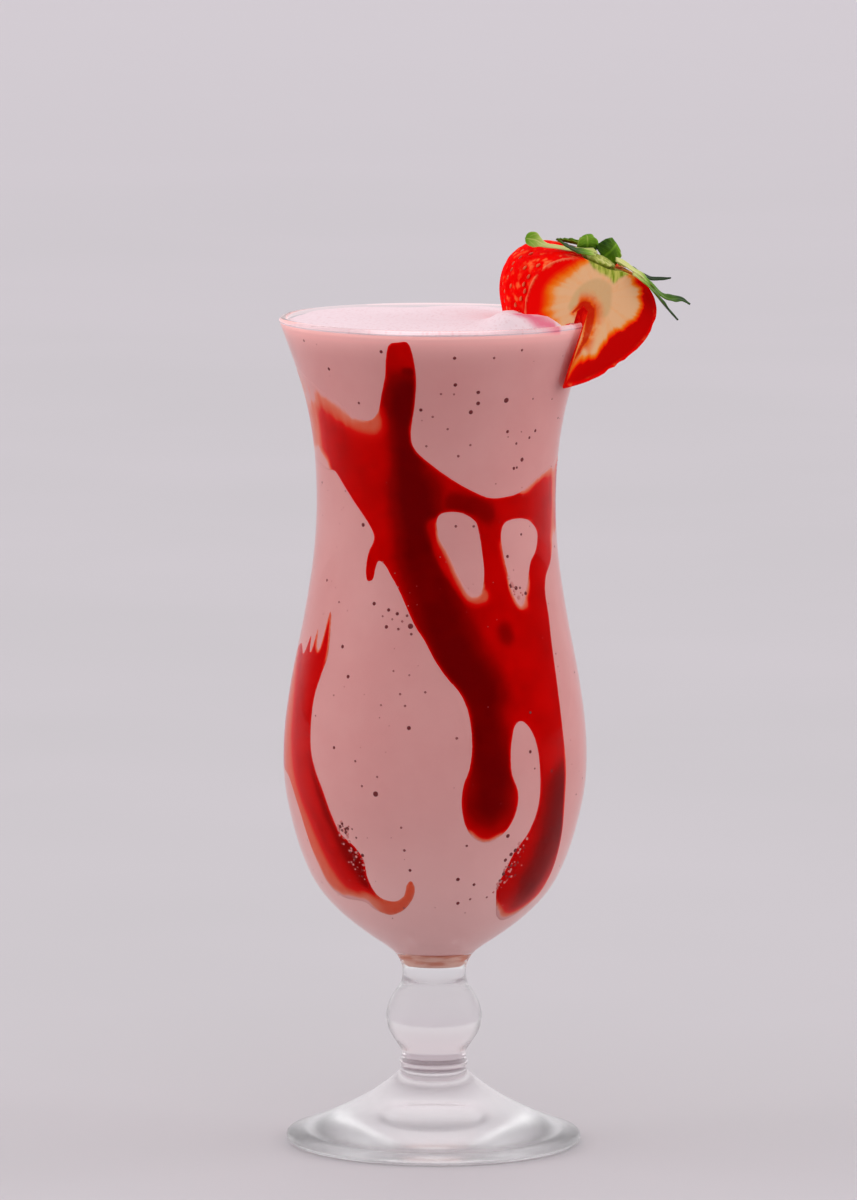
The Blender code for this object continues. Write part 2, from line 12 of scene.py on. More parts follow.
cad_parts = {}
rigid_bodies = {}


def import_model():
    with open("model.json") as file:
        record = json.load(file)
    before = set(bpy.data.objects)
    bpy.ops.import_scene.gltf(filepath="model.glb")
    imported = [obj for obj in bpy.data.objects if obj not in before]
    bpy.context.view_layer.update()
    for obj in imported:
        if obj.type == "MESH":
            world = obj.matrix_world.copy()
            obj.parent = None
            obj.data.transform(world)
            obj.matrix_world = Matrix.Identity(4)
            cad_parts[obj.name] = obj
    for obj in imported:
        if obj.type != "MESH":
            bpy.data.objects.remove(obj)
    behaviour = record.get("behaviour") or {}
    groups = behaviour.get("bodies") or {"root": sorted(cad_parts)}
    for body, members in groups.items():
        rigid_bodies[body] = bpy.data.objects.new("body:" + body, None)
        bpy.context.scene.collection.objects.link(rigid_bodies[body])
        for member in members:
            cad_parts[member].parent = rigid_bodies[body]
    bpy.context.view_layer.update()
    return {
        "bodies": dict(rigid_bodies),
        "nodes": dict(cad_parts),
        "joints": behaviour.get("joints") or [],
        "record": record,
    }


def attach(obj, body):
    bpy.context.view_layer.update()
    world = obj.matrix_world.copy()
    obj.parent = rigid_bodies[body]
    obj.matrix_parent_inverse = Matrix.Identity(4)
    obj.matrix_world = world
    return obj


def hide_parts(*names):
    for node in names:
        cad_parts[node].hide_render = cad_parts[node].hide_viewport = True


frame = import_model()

mm = 0.001
mergeReach = 0.002 * mm     # points nearer to each other than this are one


# shader nodes as expressions

def forward(operation):
    return lambda self, other: self.maths(operation, self, other)


def backward(operation):
    return lambda self, other: self.maths(operation, other, self)


class Wire:
    # an output socket; arithmetic on it adds Math nodes
    __add__, __radd__ = forward("ADD"), backward("ADD")
    __sub__, __rsub__ = forward("SUBTRACT"), backward("SUBTRACT")
    __mul__, __rmul__ = forward("MULTIPLY"), backward("MULTIPLY")
    __truediv__, __rtruediv__ = forward("DIVIDE"), backward("DIVIDE")
    __pow__ = forward("POWER")
    least, most = forward("MINIMUM"), forward("MAXIMUM")

    def __init__(self, recipe, socket):
        self.recipe = recipe
        self.socket = socket

    def maths(self, operation, first, second=0.0):
        return self.recipe.node("ShaderNodeMath", {"operation": operation}, {0: first, 1: second})

    def sine(self):
        return self.maths("SINE", self)

    def ramp(self, low, high):
        # 0 below low, 1 above high, smooth between
        return self.recipe.node("ShaderNodeMapRange", {"interpolation_type": "SMOOTHSTEP"},
                                {"Value": self, "From Min": low, "From Max": high})


class Recipe:
    # a material and the nodes that feed its Principled shader
    def __init__(self, name, **fixed):
        self.material = bpy.data.materials.new(name)
        self.material.use_nodes = True
        self.tree = self.material.node_tree
        self.shader = self.tree.nodes["Principled BSDF"]
        for socket, value in fixed.items():
            self.shader.inputs[socket.replace("_", " ")].default_value = value

    def node(self, kind, settings=None, sockets=None, output=0):
        made = self.tree.nodes.new(kind)
        for key, value in (settings or {}).items():
            if key == "stops":
                self.setStops(made.color_ramp, value)
            else:
                setattr(made, key, value)
        for key, value in (sockets or {}).items():
            self.feed(made.inputs[key], value)
        return Wire(self, made.outputs[output])

    def setStops(self, ramp, stops):
        while len(ramp.elements) < len(stops):
            ramp.elements.new(0.5)
        for element, (place, colour) in zip(ramp.elements, stops):
            element.position = place
            element.color = (*colour, 1.0)

    def feed(self, socket, value):
        if isinstance(value, Wire):
            self.tree.links.new(value.socket, socket)
        elif socket.type == "RGBA" and len(value) == 3:
            socket.default_value = (*value, 1.0)
        else:
            socket.default_value = value

    def put(self, name, value):
        self.feed(self.shader.inputs[name], value)

    def place(self):
        return self.node("ShaderNodeTexCoord", output="Object")

    def attribute(self, name):
        return self.node("ShaderNodeAttribute", {"attribute_name": name}, output="Fac")

    def noise(self, where, scale, detail=3.0, rough=0.5):
        return self.node("ShaderNodeTexNoise", {},
                         {"Vector": where, "Scale": scale, "Detail": detail,
                          "Roughness": rough}, "Fac")

    def cells(self, where, scale):
        return self.node("ShaderNodeTexVoronoi", {}, {"Vector": where, "Scale": scale},
                         "Distance")

    def split(self, where, axes="XYZ"):
        return [self.node("ShaderNodeSeparateXYZ", {}, {"Vector": where}, axis) for axis in axes]

    def stretch(self, where, scale):
        return self.node("ShaderNodeMapping", {}, {"Vector": where, "Scale": scale})

    def mix(self, share, first, second):
        # first where share is 0, second where it is 1
        made = self.tree.nodes.new("ShaderNodeMix")
        made.data_type = "RGBA"
        colours = [socket for socket in made.inputs if socket.type == "RGBA"]
        self.feed(made.inputs["Factor"], share)
        self.feed(colours[0], first)
        self.feed(colours[1], second)
        result = next(socket for socket in made.outputs if socket.type == "RGBA")
        return Wire(self, result)

    def mottle(self, value, low, high, pair):
        return self.mix(value.ramp(low, high), *pair)

    def colours(self, value, stops):
        return self.node("ShaderNodeValToRGB", {"stops": stops}, {"Fac": value}, "Color")

    def bump(self, height, distance, strength=1.0):
        normal = self.node("ShaderNodeBump", {}, {"Height": height, "Distance": distance,
                                                  "Strength": strength}, "Normal")
        self.put("Normal", normal)


def tone(red, green, blue):
    # a screen colour, 0 to 255, as the linear values that shaders take
    return tuple((value / 255 / 12.92) if value < 11 else ((value / 255 + 0.055) / 1.055) ** 2.4
                 for value in (red, green, blue))


# modelling helpers

def deselectAll():
    if bpy.context.mode != "OBJECT":
        bpy.ops.object.mode_set(mode="OBJECT")
    bpy.ops.object.select_all(action="DESELECT")


def activate(piece):
    deselectAll()
    piece.select_set(True)
    bpy.context.view_layer.objects.active = piece


def curvePart(a, b, c, d, steps):
    # the Catmull-Rom curve from b to just short of c
    return [0.5 * (2 * b + (c - a) * t + (2 * a - 5 * b + 4 * c - d) * t * t
                   + (3 * b - a - 3 * c + d) * t ** 3)
            for t in (k / steps for k in range(steps))]


def smoothLine(points, steps):
    # a smooth curve through the points
    spots = [Vector(point) for point in points]
    ends = spots[:1] + spots + spots[-1:]
    line = []
    for four in zip(ends, ends[1:], ends[2:], ends[3:]):
        line += curvePart(*four, steps)
    return line + spots[-1:]


def smoothTuples(points, steps):
    return [tuple(spot) for spot in smoothLine(points, steps)]


def smoothLoop(points, spacing):
    # a smooth closed curve, its points about a spacing apart
    spots = [Vector(point) for point in points]
    count = len(spots)
    loop = []
    for i in range(count):
        a, b, c, d = (spots[(i + k) % count] for k in (-1, 0, 1, 2))
        loop += curvePart(a, b, c, d, max(1, round((c - b).length / spacing)))
    return loop


def closeShell(merge=True):
    # in edit mode: merge doubles, and face the shell outwards
    bpy.ops.mesh.select_all(action="SELECT")
    if merge:
        bpy.ops.mesh.remove_doubles(threshold=mergeReach)
    bpy.ops.mesh.normals_make_consistent(inside=False)
    bpy.ops.object.mode_set(mode="OBJECT")


def turnProfile(name, profile, steps):
    # draw (height, radius) points as a line and spin it round the glass's axis
    deselectAll()
    bpy.ops.mesh.primitive_plane_add(size=mm)
    made = bpy.context.object
    made.name = name
    bpy.ops.object.mode_set(mode="EDIT")
    bpy.ops.mesh.select_all(action="SELECT")
    bpy.ops.mesh.merge(type="CENTER")
    bpy.ops.transform.translate(value=(profile[0][1] * mm, 0, profile[0][0] * mm))
    for (low, near), (high, far) in zip(profile, profile[1:]):
        step = ((far - near) * mm, 0, (high - low) * mm)
        bpy.ops.mesh.extrude_region_move(TRANSFORM_OT_translate={"value": step})
    bpy.ops.mesh.select_all(action="SELECT")
    bpy.ops.mesh.spin(steps=steps, angle=2 * pi, center=(0, 0, 0), axis=(0, 0, 1))
    closeShell()
    bpy.ops.object.shade_smooth()
    made.data.name = name
    return made


def meshPiece(name, points, faces):
    # points in millimetres
    mesh = bpy.data.meshes.new(name)
    mesh.from_pydata((np.asarray(points, float) * mm).tolist(), [], faces)
    mesh.update()
    made = bpy.data.objects.new(name, mesh)
    bpy.context.scene.collection.objects.link(made)
    activate(made)
    bpy.ops.object.shade_smooth()
    return made


def tidyShell(piece, merge=True):
    activate(piece)
    bpy.ops.object.mode_set(mode="EDIT")
    closeShell(merge)


def vertexPlaces(piece):
    # an array of the piece's points, in millimetres
    flat = np.zeros(len(piece.data.vertices) * 3)
    piece.data.vertices.foreach_get("co", flat)
    return flat.reshape(-1, 3) / mm


def moveVertices(piece, places):
    piece.data.vertices.foreach_set("co", (places * mm).ravel())
    piece.data.update()


def storeValues(piece, name, values):
    layer = piece.data.attributes.new(name, "FLOAT", "POINT")
    layer.data.foreach_set("value", np.asarray(values, np.float32))


def finishPiece(piece, recipe, slot, *replaced):
    piece.data.materials.clear()
    piece.data.materials.append(recipe.material)
    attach(piece, "root")
    for node in replaced:
        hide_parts(node)


def ease(values, low, high):
    share = np.clip((np.asarray(values, float) - low) / (high - low), 0.0, 1.0)
    return share * share * (3 - 2 * share)


# glass: the same stations as the solid, joined by smooth curves

glassShape = {
    "sides": 144,
    "height": 206.0,
    "rimRadius": 39.0,
    "lipRadius": 1.1,
    "outside": [(200.0, 37.1), (193.0, 34.6), (184.0, 32.0), (173.0, 30.2), (160.0, 29.6),
                (147.0, 30.3), (132.0, 32.6), (116.0, 35.7), (103.0, 37.4), (91.0, 37.4),
                (80.0, 35.3), (71.0, 32.4), (64.0, 28.8), (58.0, 23.5), (53.0, 17.3),
                (49.5, 12.2), (47.2, 9.5), (44.0, 8.0), (40.5, 8.1), (38.4, 9.2), (36.8, 10.3),
                (34.0, 11.5), (31.0, 11.9), (27.8, 11.1), (24.8, 9.2), (22.8, 8.0), (21.4, 8.0),
                (20.2, 8.5), (18.6, 8.1), (16.6, 9.8), (14.4, 12.6), (11.4, 17.0), (8.0, 23.4),
                (5.2, 29.4), (3.5, 34.0)],
    "inside": [(44.6, 0.0), (44.6, 5.0), (46.6, 6.7), (49.0, 8.7), (52.0, 12.3), (56.2, 17.8),
               (61.5, 23.4), (67.5, 28.0), (74.5, 31.2), (83.0, 33.7), (92.0, 35.1),
               (103.0, 35.1), (116.0, 33.4), (132.0, 30.3), (147.0, 28.0), (160.0, 27.3),
               (173.0, 27.9), (184.0, 29.7), (193.0, 32.3), (200.0, 34.9), (204.9, 36.9)],
    "footRadius": 36.6,
    "footEdge": 1.5,
    "recess": 0.9,
    "recessRadii": (10.0, 14.0, 26.0, 31.0),
    "curveSteps": 4,
    "stemTop": 46.0,        # from here down the stem's look
    "lipFoot": 205.0,       # and from here up the lip's
    "clearColours": (tone(251, 253, 253), tone(255, 255, 255)),
    "footHeights": (0.026, 0.034),      # where the foot's painted reflection fades, in metres
    "footRadii": (0.012, 0.028),
}

glassLooks = {              # sheen: how much the surface mirrors; the emission is a painted glow of the glass's own, pink on the lip; the tint low in the stem is a painted reflection of the pink drink
                            # to the eye; foot: the tint where the stem's glass is thickest
    "bowl_glass": dict(sheen=0.12, bend=1.2, haze=0.0),
    "stem_glass": dict(sheen=0.35, bend=1.3, haze=0.2, glassGlow=0.02, glassGlowColour=tone(206, 198, 204),
                       footReflection=tone(230, 220, 223)),
    "lip_glass": dict(sheen=0.4, bend=1.3, haze=0.02, glassGlow=0.2, glassGlowColour=tone(252, 190, 190)),
}

insideCurve = smoothLine(glassShape["inside"][1:], 6)
insideHeights = np.array([spot[0] for spot in insideCurve])
insideRadii = np.array([spot[1] for spot in insideCurve])


def arcPoints(height, radius, size, start, end, steps):
    arc = []
    for k in range(steps + 1):
        angle = radians(start + (end - start) * k / steps)
        arc.append((height + size * sin(angle), radius + size * cos(angle)))
    return arc


def wallPoint(heights, depth):
    # height and radius of points a depth inside the inner wall, square to it
    radius = np.interp(heights, insideHeights, insideRadii)
    slope = (np.interp(np.add(heights, 0.5), insideHeights, insideRadii)
             - np.interp(np.subtract(heights, 0.5), insideHeights, insideRadii))
    length = np.sqrt(1 + slope * slope)
    return heights + depth * slope / length, radius - depth / length


def roundWall(angles, heights, depth):
    level, radius = wallPoint(heights, depth)
    turn = np.radians(angles)
    return np.stack([radius * np.sin(turn), -radius * np.cos(turn), level], axis=1)


def glassLook(name, sheen, bend, haze, glassGlow=0.0, glassGlowColour=(0.0, 0.0, 0.0), footReflection=None):
    # painted light: the emission makes the glass glow faintly, pink on the lip
    look = Recipe(name, Transmission_Weight=1.0, IOR=bend, Roughness=haze,
                  Specular_Tint=(sheen, sheen, sheen, 1.0), Emission_Strength=glassGlow,
                  Emission_Color=(*glassGlowColour, 1.0))
    wear = look.noise(look.place(), 90.0, 2.0)
    clear = look.mix(wear, *glassShape["clearColours"])
    # painted reflection: a darker pink tint low in the stem and foot, for the drink seen in the
    # glass
    if footReflection:
        x, y, z = look.split(look.place())
        away = (x * x + y * y) ** 0.5
        low = (1 - z.ramp(*glassShape["footHeights"])) * (1 - away.ramp(*glassShape["footRadii"]))
        clear = look.mix(low, clear, footReflection)
    look.put("Base Color", clear)
    look.put("Roughness", wear.ramp(0.45, 0.9) * 0.01 + haze)
    return look


def makeGlass():
    shape = glassShape
    steps = shape["curveSteps"]
    lipMiddle = shape["rimRadius"] - shape["lipRadius"]
    lipHeight = shape["height"] - shape["lipRadius"]
    lip = arcPoints(lipHeight, lipMiddle, shape["lipRadius"], 168, 12, 12)
    edge = arcPoints(shape["footEdge"], shape["footRadius"] - shape["footEdge"],
                     shape["footEdge"], 68, -88, 12)
    outer, far, near, inner = reversed(shape["recessRadii"])
    bottom = [(0.0, outer), (shape["recess"], far), (shape["recess"], near), (0.0, inner)]
    profile = [shape["inside"][0]]
    profile += smoothTuples(shape["inside"][1:], steps)[:-1]
    profile += lip
    profile += smoothTuples(shape["outside"], steps)
    profile += edge
    profile += smoothTuples(bottom, 6) + [(0.0, 0.0)]
    glass = turnProfile("glass_body", profile, shape["sides"])
    bowlLook, stemLook, lipLook = (glassLook(name, **row) for name, row in glassLooks.items())
    finishPiece(glass, bowlLook, "glass", "glass")
    glass.data.materials.append(stemLook.material)
    glass.data.materials.append(lipLook.material)
    for face in glass.data.polygons:
        height = face.center.z / mm
        face.material_index = 1 if height < shape["stemTop"] else 2 * (height > shape["lipFoot"])
    print("glass made")


# milkshake

drinkShape = {
    "sides": 192,
    "bottom": 48.4,
    "top": 204.7,
    "heap": 2.0,
    "intoWall": 0.1,
    "wallStep": 1.6,
    "ringStep": 0.9,
    "rimMargin": 0.4,       # the outermost ring stays level
    "moundLine": ((19.0, -25.0), (33.0, -18.5)),
    "moundHeight": 4.2,
    "moundSpread": 6.0,
    "ripples": (0.35, 0.3),
    "folds": 0.22,
    "calmReach": (0.945, 0.05),         # the surface is level from here outwards
    "colour": tone(236, 172, 169),
    "shadeColour": tone(231, 163, 160),
    "foamColour": tone(240, 218, 223),
    "glowColour": tone(252, 188, 184),
    "floorLightColour": tone(252, 226, 222),
    "poreColour": tone(214, 160, 166),
    "smearColour": tone(226, 92, 126),
    "smear": [(19.5, -27.0), (24.0, -26.0), (29.0, -22.5)],
    "glowFoot": 196.0,      # painted light from above pales the drink down to here and painted light from the floor, from here up
    "floorLightReach": (50, 98),   # and light from the floor, from here up
    "floorLightShare": 0.36,
    "glowStrength": 0.3,
}


def drinkSurface(x, y):
    shape = drinkShape
    reach = np.hypot(x, y) / glassShape["rimRadius"]
    level = shape["top"] + shape["heap"] * (1 - reach * reach)
    wide, narrow = shape["ripples"]
    ripple = wide * np.sin(x / 5.5 + 1.1 * np.sin(y / 9.0)) + narrow * np.sin(y / 4.2 - x / 11.0)
    fold = shape["folds"] * np.abs(np.sin(y / 3.1 + 0.9 * np.sin(x / 7.0) + x / 16.0))
    start, end = (np.array(spot) for spot in shape["moundLine"])
    run = end - start
    along = np.clip(((x - start[0]) * run[0] + (y - start[1]) * run[1]) / run.dot(run), 0, 1)
    away = np.hypot(x - start[0] - along * run[0], y - start[1] - along * run[1])
    mound = shape["moundHeight"] / (1 + (away / shape["moundSpread"]) ** 4)
    calm, fade = shape["calmReach"]
    edge = np.clip((calm - reach) / fade, 0, 1)
    return level + edge * (ripple + fold + mound)


def drinkColour(look):
    # pink, with faint clouds; shared by the drink and the thin edges of the sauce
    cloud = look.noise(look.place(), 38.0, 4.0, 0.55)
    return look.mix(cloud.ramp(0.3, 0.75), drinkShape["shadeColour"], drinkShape["colour"])


def makeDrink():
    shape = drinkShape
    heights = np.append(np.arange(shape["bottom"], shape["top"], shape["wallStep"]), shape["top"])
    levels, radii = wallPoint(heights, -shape["intoWall"])
    wall = list(zip(levels.tolist(), radii.tolist()))
    wall[-1] = (shape["top"], wall[-1][1])
    rings = ceil(wall[-1][1] / shape["ringStep"])
    top = [(shape["top"], wall[-1][1] * (1 - k / rings)) for k in range(1, rings + 1)]
    profile = [(wall[0][0], 0.0)] + wall + top
    drink = turnProfile("milkshake_body", profile, shape["sides"])
    places = vertexPlaces(drink)
    onTop = places[:, 2] > shape["top"] - 0.02
    edge = np.hypot(places[:, 0], places[:, 1]) < wall[-1][1] - shape["rimMargin"]
    lifted = onTop & edge
    places[lifted, 2] = drinkSurface(places[lifted, 0], places[lifted, 1])
    moveVertices(drink, places)
    storeValues(drink, "foam", onTop.astype(float))
    glow = np.clip((places[:, 2] - shape["glowFoot"]) / (shape["top"] - shape["glowFoot"]), 0, 1)
    storeValues(drink, "glow", glow ** 3)
    # painted light from the floor: strongest on the lowest part of the drink
    storeValues(drink, "low", 1 - ease(places[:, 2], *shape["floorLightReach"]))
    smear = lineDistance(shape["smear"], places[:, 0], places[:, 1])
    storeValues(drink, "smear", (1 - ease(smear, 0.3, 1.8)) * onTop)
    look = Recipe("milkshake", Roughness=0.5, Specular_IOR_Level=0.0,
                  Emission_Strength=shape["glowStrength"])
    pink = drinkColour(look)
    foam = look.attribute("foam").ramp(0.72, 0.98)
    # painted light from the floor paling the lower drink
    pink = look.mix(look.attribute("low") * shape["floorLightShare"], pink, shape["floorLightColour"])
    glow = look.attribute("glow")
    pink = look.mix(glow, pink, shape["glowColour"])
    # painted light: the drink glows a little near its top and low down, as if lit from above and
    # from the floor
    shine = (glow * 0.8 * (1 - foam)).most(look.attribute("low") * 0.24)
    look.put("Emission Color", look.mix(shine, (0.0, 0.0, 0.0), shape["glowColour"]))
    base = look.mix(foam, pink, shape["foamColour"])
    base = look.mix(look.attribute("smear") * 0.85, base, shape["smearColour"])
    pores = look.cells(look.place(), 900.0)
    look.put("Base Color", look.mix(foam * (1 - pores.ramp(0.1, 0.45)) * 0.25, base,
                                    shape["poreColour"]))
    look.bump(look.noise(look.place(), 700.0, 2.0) * foam, 0.00012)
    finishPiece(drink, look, "milkshake", "milkshake")
    print("milkshake made")


poolShape = {
    "sides": 96,
    "heights": [44.95, 45.6, 46.3, 47.0, 47.7, 48.15],
    "bottom": 44.5,
    "bottomRadius": 5.0,
    "top": 48.35,
    "topInset": 0.6,
    "colours": (tone(226, 146, 124), tone(248, 198, 182)),
}


def makePool():
    shape = poolShape
    levels, radii = wallPoint(np.array(shape["heights"]), -drinkShape["intoWall"])
    wall = list(zip(levels.tolist(), radii.tolist()))
    profile = [(shape["bottom"], 0.0), (shape["bottom"], shape["bottomRadius"])] + wall
    profile += [(shape["top"], wall[-1][1] - shape["topInset"]), (shape["top"], 0.0)]
    pool = turnProfile("sauce_pool_body", profile, shape["sides"])
    look = Recipe("pool_sauce", Roughness=0.4, Specular_IOR_Level=0.0)
    smear = look.noise(look.stretch(look.place(), (1, 1, 5)), 160.0, 3.0)
    look.put("Base Color", look.mottle(smear, 0.35, 0.65, shape["colours"]))
    finishPiece(pool, look, "sauce_pool", "sauce_pool")
    print("sauce pool made")


# sauce on the inner wall

swirlOutline = [
    (-15, 203.2), (-10.5, 202.6), (-8.5, 195), (-9.5, 188), (-12, 180), (-10, 176), (-1, 172),
    (9, 168.5), (18, 166), (28, 164), (38, 164), (48, 165), (60, 168), (77, 170.5),
    (92, 172), (108, 171), (122, 168), (137, 162), (150, 154), (160, 147), (165, 142),
    (164, 137), (157, 137), (149, 141), (143, 138), (141, 124), (140, 108), (142, 96),
    (140, 88), (134, 86), (129, 91), (129, 103), (131, 118), (130, 134), (126, 142),
    (118, 147), (111, 142), (109, 131), (106, 124), (101, 126), (101, 137), (98, 148),
    (90, 152), (81, 150), (74, 146), (67, 143), (64, 139), (64, 133), (62.5, 125), (61.5, 115),
    (61.5, 105), (63, 97), (64, 88), (68.5, 77.5), (71, 70), (71, 64.5), (64, 60.5), (53, 58.5),
    (42, 60), (35, 64), (32, 68), (34, 72), (37, 77), (42, 81), (45, 85.5), (46, 90),
    (45.5, 97), (44, 103), (41, 107), (37, 109), (34, 108), (32.5, 105.5), (31.5, 101.5),
    (32, 96.5), (35, 92), (35, 87.5), (32, 83), (26, 80), (21, 79.5), (16, 81), (12.5, 84),
    (10.5, 89), (11, 94), (13.5, 98.5), (14.5, 104), (14, 109.5), (12.5, 113.5), (9.5, 117),
    (5, 120), (0, 124), (-5, 129), (-10, 133), (-18, 141), (-22.5, 144.5), (-26, 147),
    (-29.5, 148), (-31, 146), (-32, 143.5), (-35.5, 143), (-37, 146), (-36, 150), (-33, 153.5),
    (-35, 156), (-40, 159), (-46, 162), (-53, 165.5), (-61, 169), (-69, 169), (-80, 170),
    (-92, 170), (-99, 164), (-101, 150), (-103, 139), (-109, 137), (-112, 144), (-111, 158),
    (-115, 168), (-122, 169), (-126, 158), (-127, 140), (-129, 122), (-133, 114), (-139, 115),
    (-141, 124), (-139, 142), (-139, 160), (-143, 171), (-151, 177), (-155, 184), (-151, 190),
    (-140, 193), (-125, 195), (-108, 196), (-90, 195), (-72, 192), (-59, 189), (-48, 186.5),
    (-41, 184), (-34, 183), (-28.5, 185), (-25.5, 189.5), (-22.5, 194.5), (-21, 199), (-19, 202.4),
]
swirlHoles = [
    [(2.5, 160), (8, 160.5), (14, 160), (20, 158), (22, 155), (23.5, 150), (24, 145), (22, 141),
     (17, 141), (11.5, 145), (7, 150), (2, 154.5), (0.5, 158)],
    [(38, 157.5), (47, 158), (55, 157), (61, 154), (59, 150), (53.5, 147), (50, 142.5),
     (44, 137.5), (40, 141), (37.5, 146), (35.5, 151), (35, 155)],
]
streakOutline = [
    (-58.5, 134), (-56.5, 134), (-55, 130), (-54, 124), (-56.5, 119), (-59, 113.5), (-59, 107),
    (-57.5, 100.5), (-54.5, 96), (-50, 91), (-46.5, 85.5), (-43, 81), (-36.5, 78), (-33, 74.5),
    (-33, 69.5), (-30, 65.5), (-22, 64.5), (-16, 66), (-13.5, 69), (-11, 70), (-9.5, 68),
    (-11.5, 65), (-18, 62), (-27.5, 60.5), (-36.5, 61.5), (-42, 63.5), (-57, 64), (-65, 66.5),
    (-67.5, 72.5), (-69, 79), (-72, 86), (-79, 92), (-91, 94), (-102, 98), (-109, 107),
    (-106, 117), (-96, 122), (-84, 125), (-77, 123), (-72, 128), (-70.5, 125), (-69, 124),
    (-66, 130.5), (-64, 126), (-61.5, 125.5),
]
sauceShape = {
    "unrollRadius": 35.1,
    "grid": 0.6,
    "thick": 1.2,
    "edgeThick": 0.15,
    "proud": 0.24,          # its face, this far into the glass wall
    "edgeProud": 0.06,      # its rim sinks under the drink's face
    "edgeWidth": 0.7,
    "crisp": 0.5,           # width of a hard edge's fade
    "soft": [               # where the edge thins out: angle, height, reach, fade width
        (-62, 187, 20, 4.0), (-90, 180, 22, 5.0), (-20, 182, 7, 1.4), (62, 166, 12, 3.0),
        (82, 160, 16, 5.0), (6, 150, 9, 3.0), (14, 143, 8, 3.0), (44, 140, 8, 2.6),
        (21, 79.5, 8, 2.0), (-60, 128, 10, 1.6), (-60, 66, 14, 2.4), (-45, 62, 8, 2.4),
        (52, 60, 14, 2.6), (67, 62, 10, 2.6), (63, 92, 14, 1.4),
    ],
    "thinStrokes": [        # where it lies thin all over: path, half width, strength
        ([(-96, 124), (-86, 112), (-82, 100), (-78, 92), (-68, 80), (-61, 69.5), (-53, 63.5),
          (-40, 61.5)], 7.0, 0.62),
        ([(-36, 63), (-31, 62.2), (-23.6, 62.2), (-16.3, 63.8), (-11.7, 67)], 5.0, 0.6),
        ([(-88, 188), (-72, 190), (-62, 188), (-50, 185.5), (-40, 183.5), (-32, 183)], 6.0, 0.64),
        ([(-82, 174), (-80, 182), (-78, 190)], 8.5, 0.7),
        ([(-92, 171), (-80, 171), (-70, 169.5)], 4.6, 0.95),
        ([(81, 170), (84, 160), (80, 152)], 3.4, 0.6),
        ([(38, 61), (52, 58.5), (68, 61.5)], 3.0, 0.5),
        ([(-2, 157), (3, 150), (10, 144.5), (17, 140), (23, 140)], 3.0, 0.6),
        ([(35, 152), (38, 145), (43, 138), (47, 137)], 2.0, 0.5),
        ([(16, 80), (21, 78.8), (27, 80)], 1.6, 0.5),
    ],
    "thickStrokes": [       # where it lies thickest: path, half width, strength
        ([(-14, 190), (-13.5, 180), (-13, 170), (-11, 160)], 6.5, 1.0),
        ([(-11, 165), (-8, 152), (-2, 142), (5, 131), (12, 122), (17, 116)], 9.0, 1.0),
        ([(17, 118), (20, 108), (22, 98), (23, 90)], 7.0, 0.95),
        ([(-43, 84), (-39, 77), (-33, 70)], 4.5, 0.55),
        ([(-53, 106), (-54, 98), (-50, 90), (-45, 83)], 3.0, 0.5),
        ([(60, 92), (59, 84), (58, 76), (54, 69)], 7.0, 0.72),
        ([(8, 163), (20, 162), (27, 160)], 3.0, 0.6),
        ([(33, 131), (34, 130)], 2.8, 0.45),
        ([(-13, 195.6), (-7, 195.6)], 1.4, 0.8),
    ],
    "tints": [              # from thin to thick
        (0.0, tone(250, 160, 138)), (0.1, tone(238, 130, 104)), (0.26, tone(234, 88, 60)),
        (0.38, tone(232, 14, 10)), (0.6, tone(210, 1, 1)), (0.8, tone(150, 1, 1)),
        (1.0, tone(116, 0, 1)),
    ],
    "streaks": 0.36,        # how much of a soft edge's thickness its streaks take
    "clouds": 0.3,
}


def unroll(points):
    return [(radians(angle) * sauceShape["unrollRadius"], height) for angle, height in points]


def crossings(loops, x, y):
    # True where a point is in the outline and in none of its holes
    count = np.zeros(len(x), int)
    for loop in loops:
        ring = np.array(loop)
        for (x0, y0), (x1, y1) in zip(ring, np.roll(ring, -1, axis=0)):
            if y0 == y1:
                continue
            hit = ((y0 > y) != (y1 > y)) & (x < x0 + (y - y0) / (y1 - y0) * (x1 - x0))
            count += hit
    return count % 2 == 1


def lineDistance(line, x, y):
    # distance to the nearest stretch of a line
    best = np.full(len(x), 1e9)
    for (x0, y0), (x1, y1) in zip(line, line[1:]):
        run = (x1 - x0, y1 - y0)
        size = run[0] ** 2 + run[1] ** 2
        if size == 0:
            continue
        share = np.clip(((x - x0) * run[0] + (y - y0) * run[1]) / size, 0, 1)
        best = np.minimum(best, np.hypot(x - x0 - share * run[0], y - y0 - share * run[1]))
    return best


def edgeDistance(loops, x, y):
    return np.min([lineDistance(list(loop) + [loop[0]], x, y) for loop in loops], axis=0)


def fineLayout(loops, spacing):
    # flat triangles that fill the loops
    points = [tuple(spot) for loop in loops for spot in loop]
    edges = []
    start = 0
    for loop in loops:
        edges += [(start + i, start + (i + 1) % len(loop)) for i in range(len(loop))]
        start += len(loop)
    low = np.min(points, axis=0)
    high = np.max(points, axis=0)
    rowStep = spacing * sqrt(3) / 2
    rows = np.arange(low[1], high[1], rowStep)
    across = np.arange(low[0], high[0], spacing)
    x, y = np.meshgrid(across, rows)
    x = x + 0.5 * spacing * (np.arange(len(rows)) % 2)[:, None]
    x, y = x.ravel(), y.ravel()
    x, y = (values[crossings(loops, x, y)] for values in (x, y))
    kept = edgeDistance(loops, x, y) > 0.55 * spacing
    points += list(zip(x[kept].tolist(), y[kept].tolist()))
    laid = delaunay_2d_cdt([Vector(point) for point in points], edges, [], 0, 0.00001)
    spots = np.array([tuple(spot) for spot in laid[0]])
    faces = np.array([face for face in laid[2] if len(face) == 3])
    middles = spots[faces].mean(axis=1)
    return spots, faces[crossings(loops, middles[:, 0], middles[:, 1])]


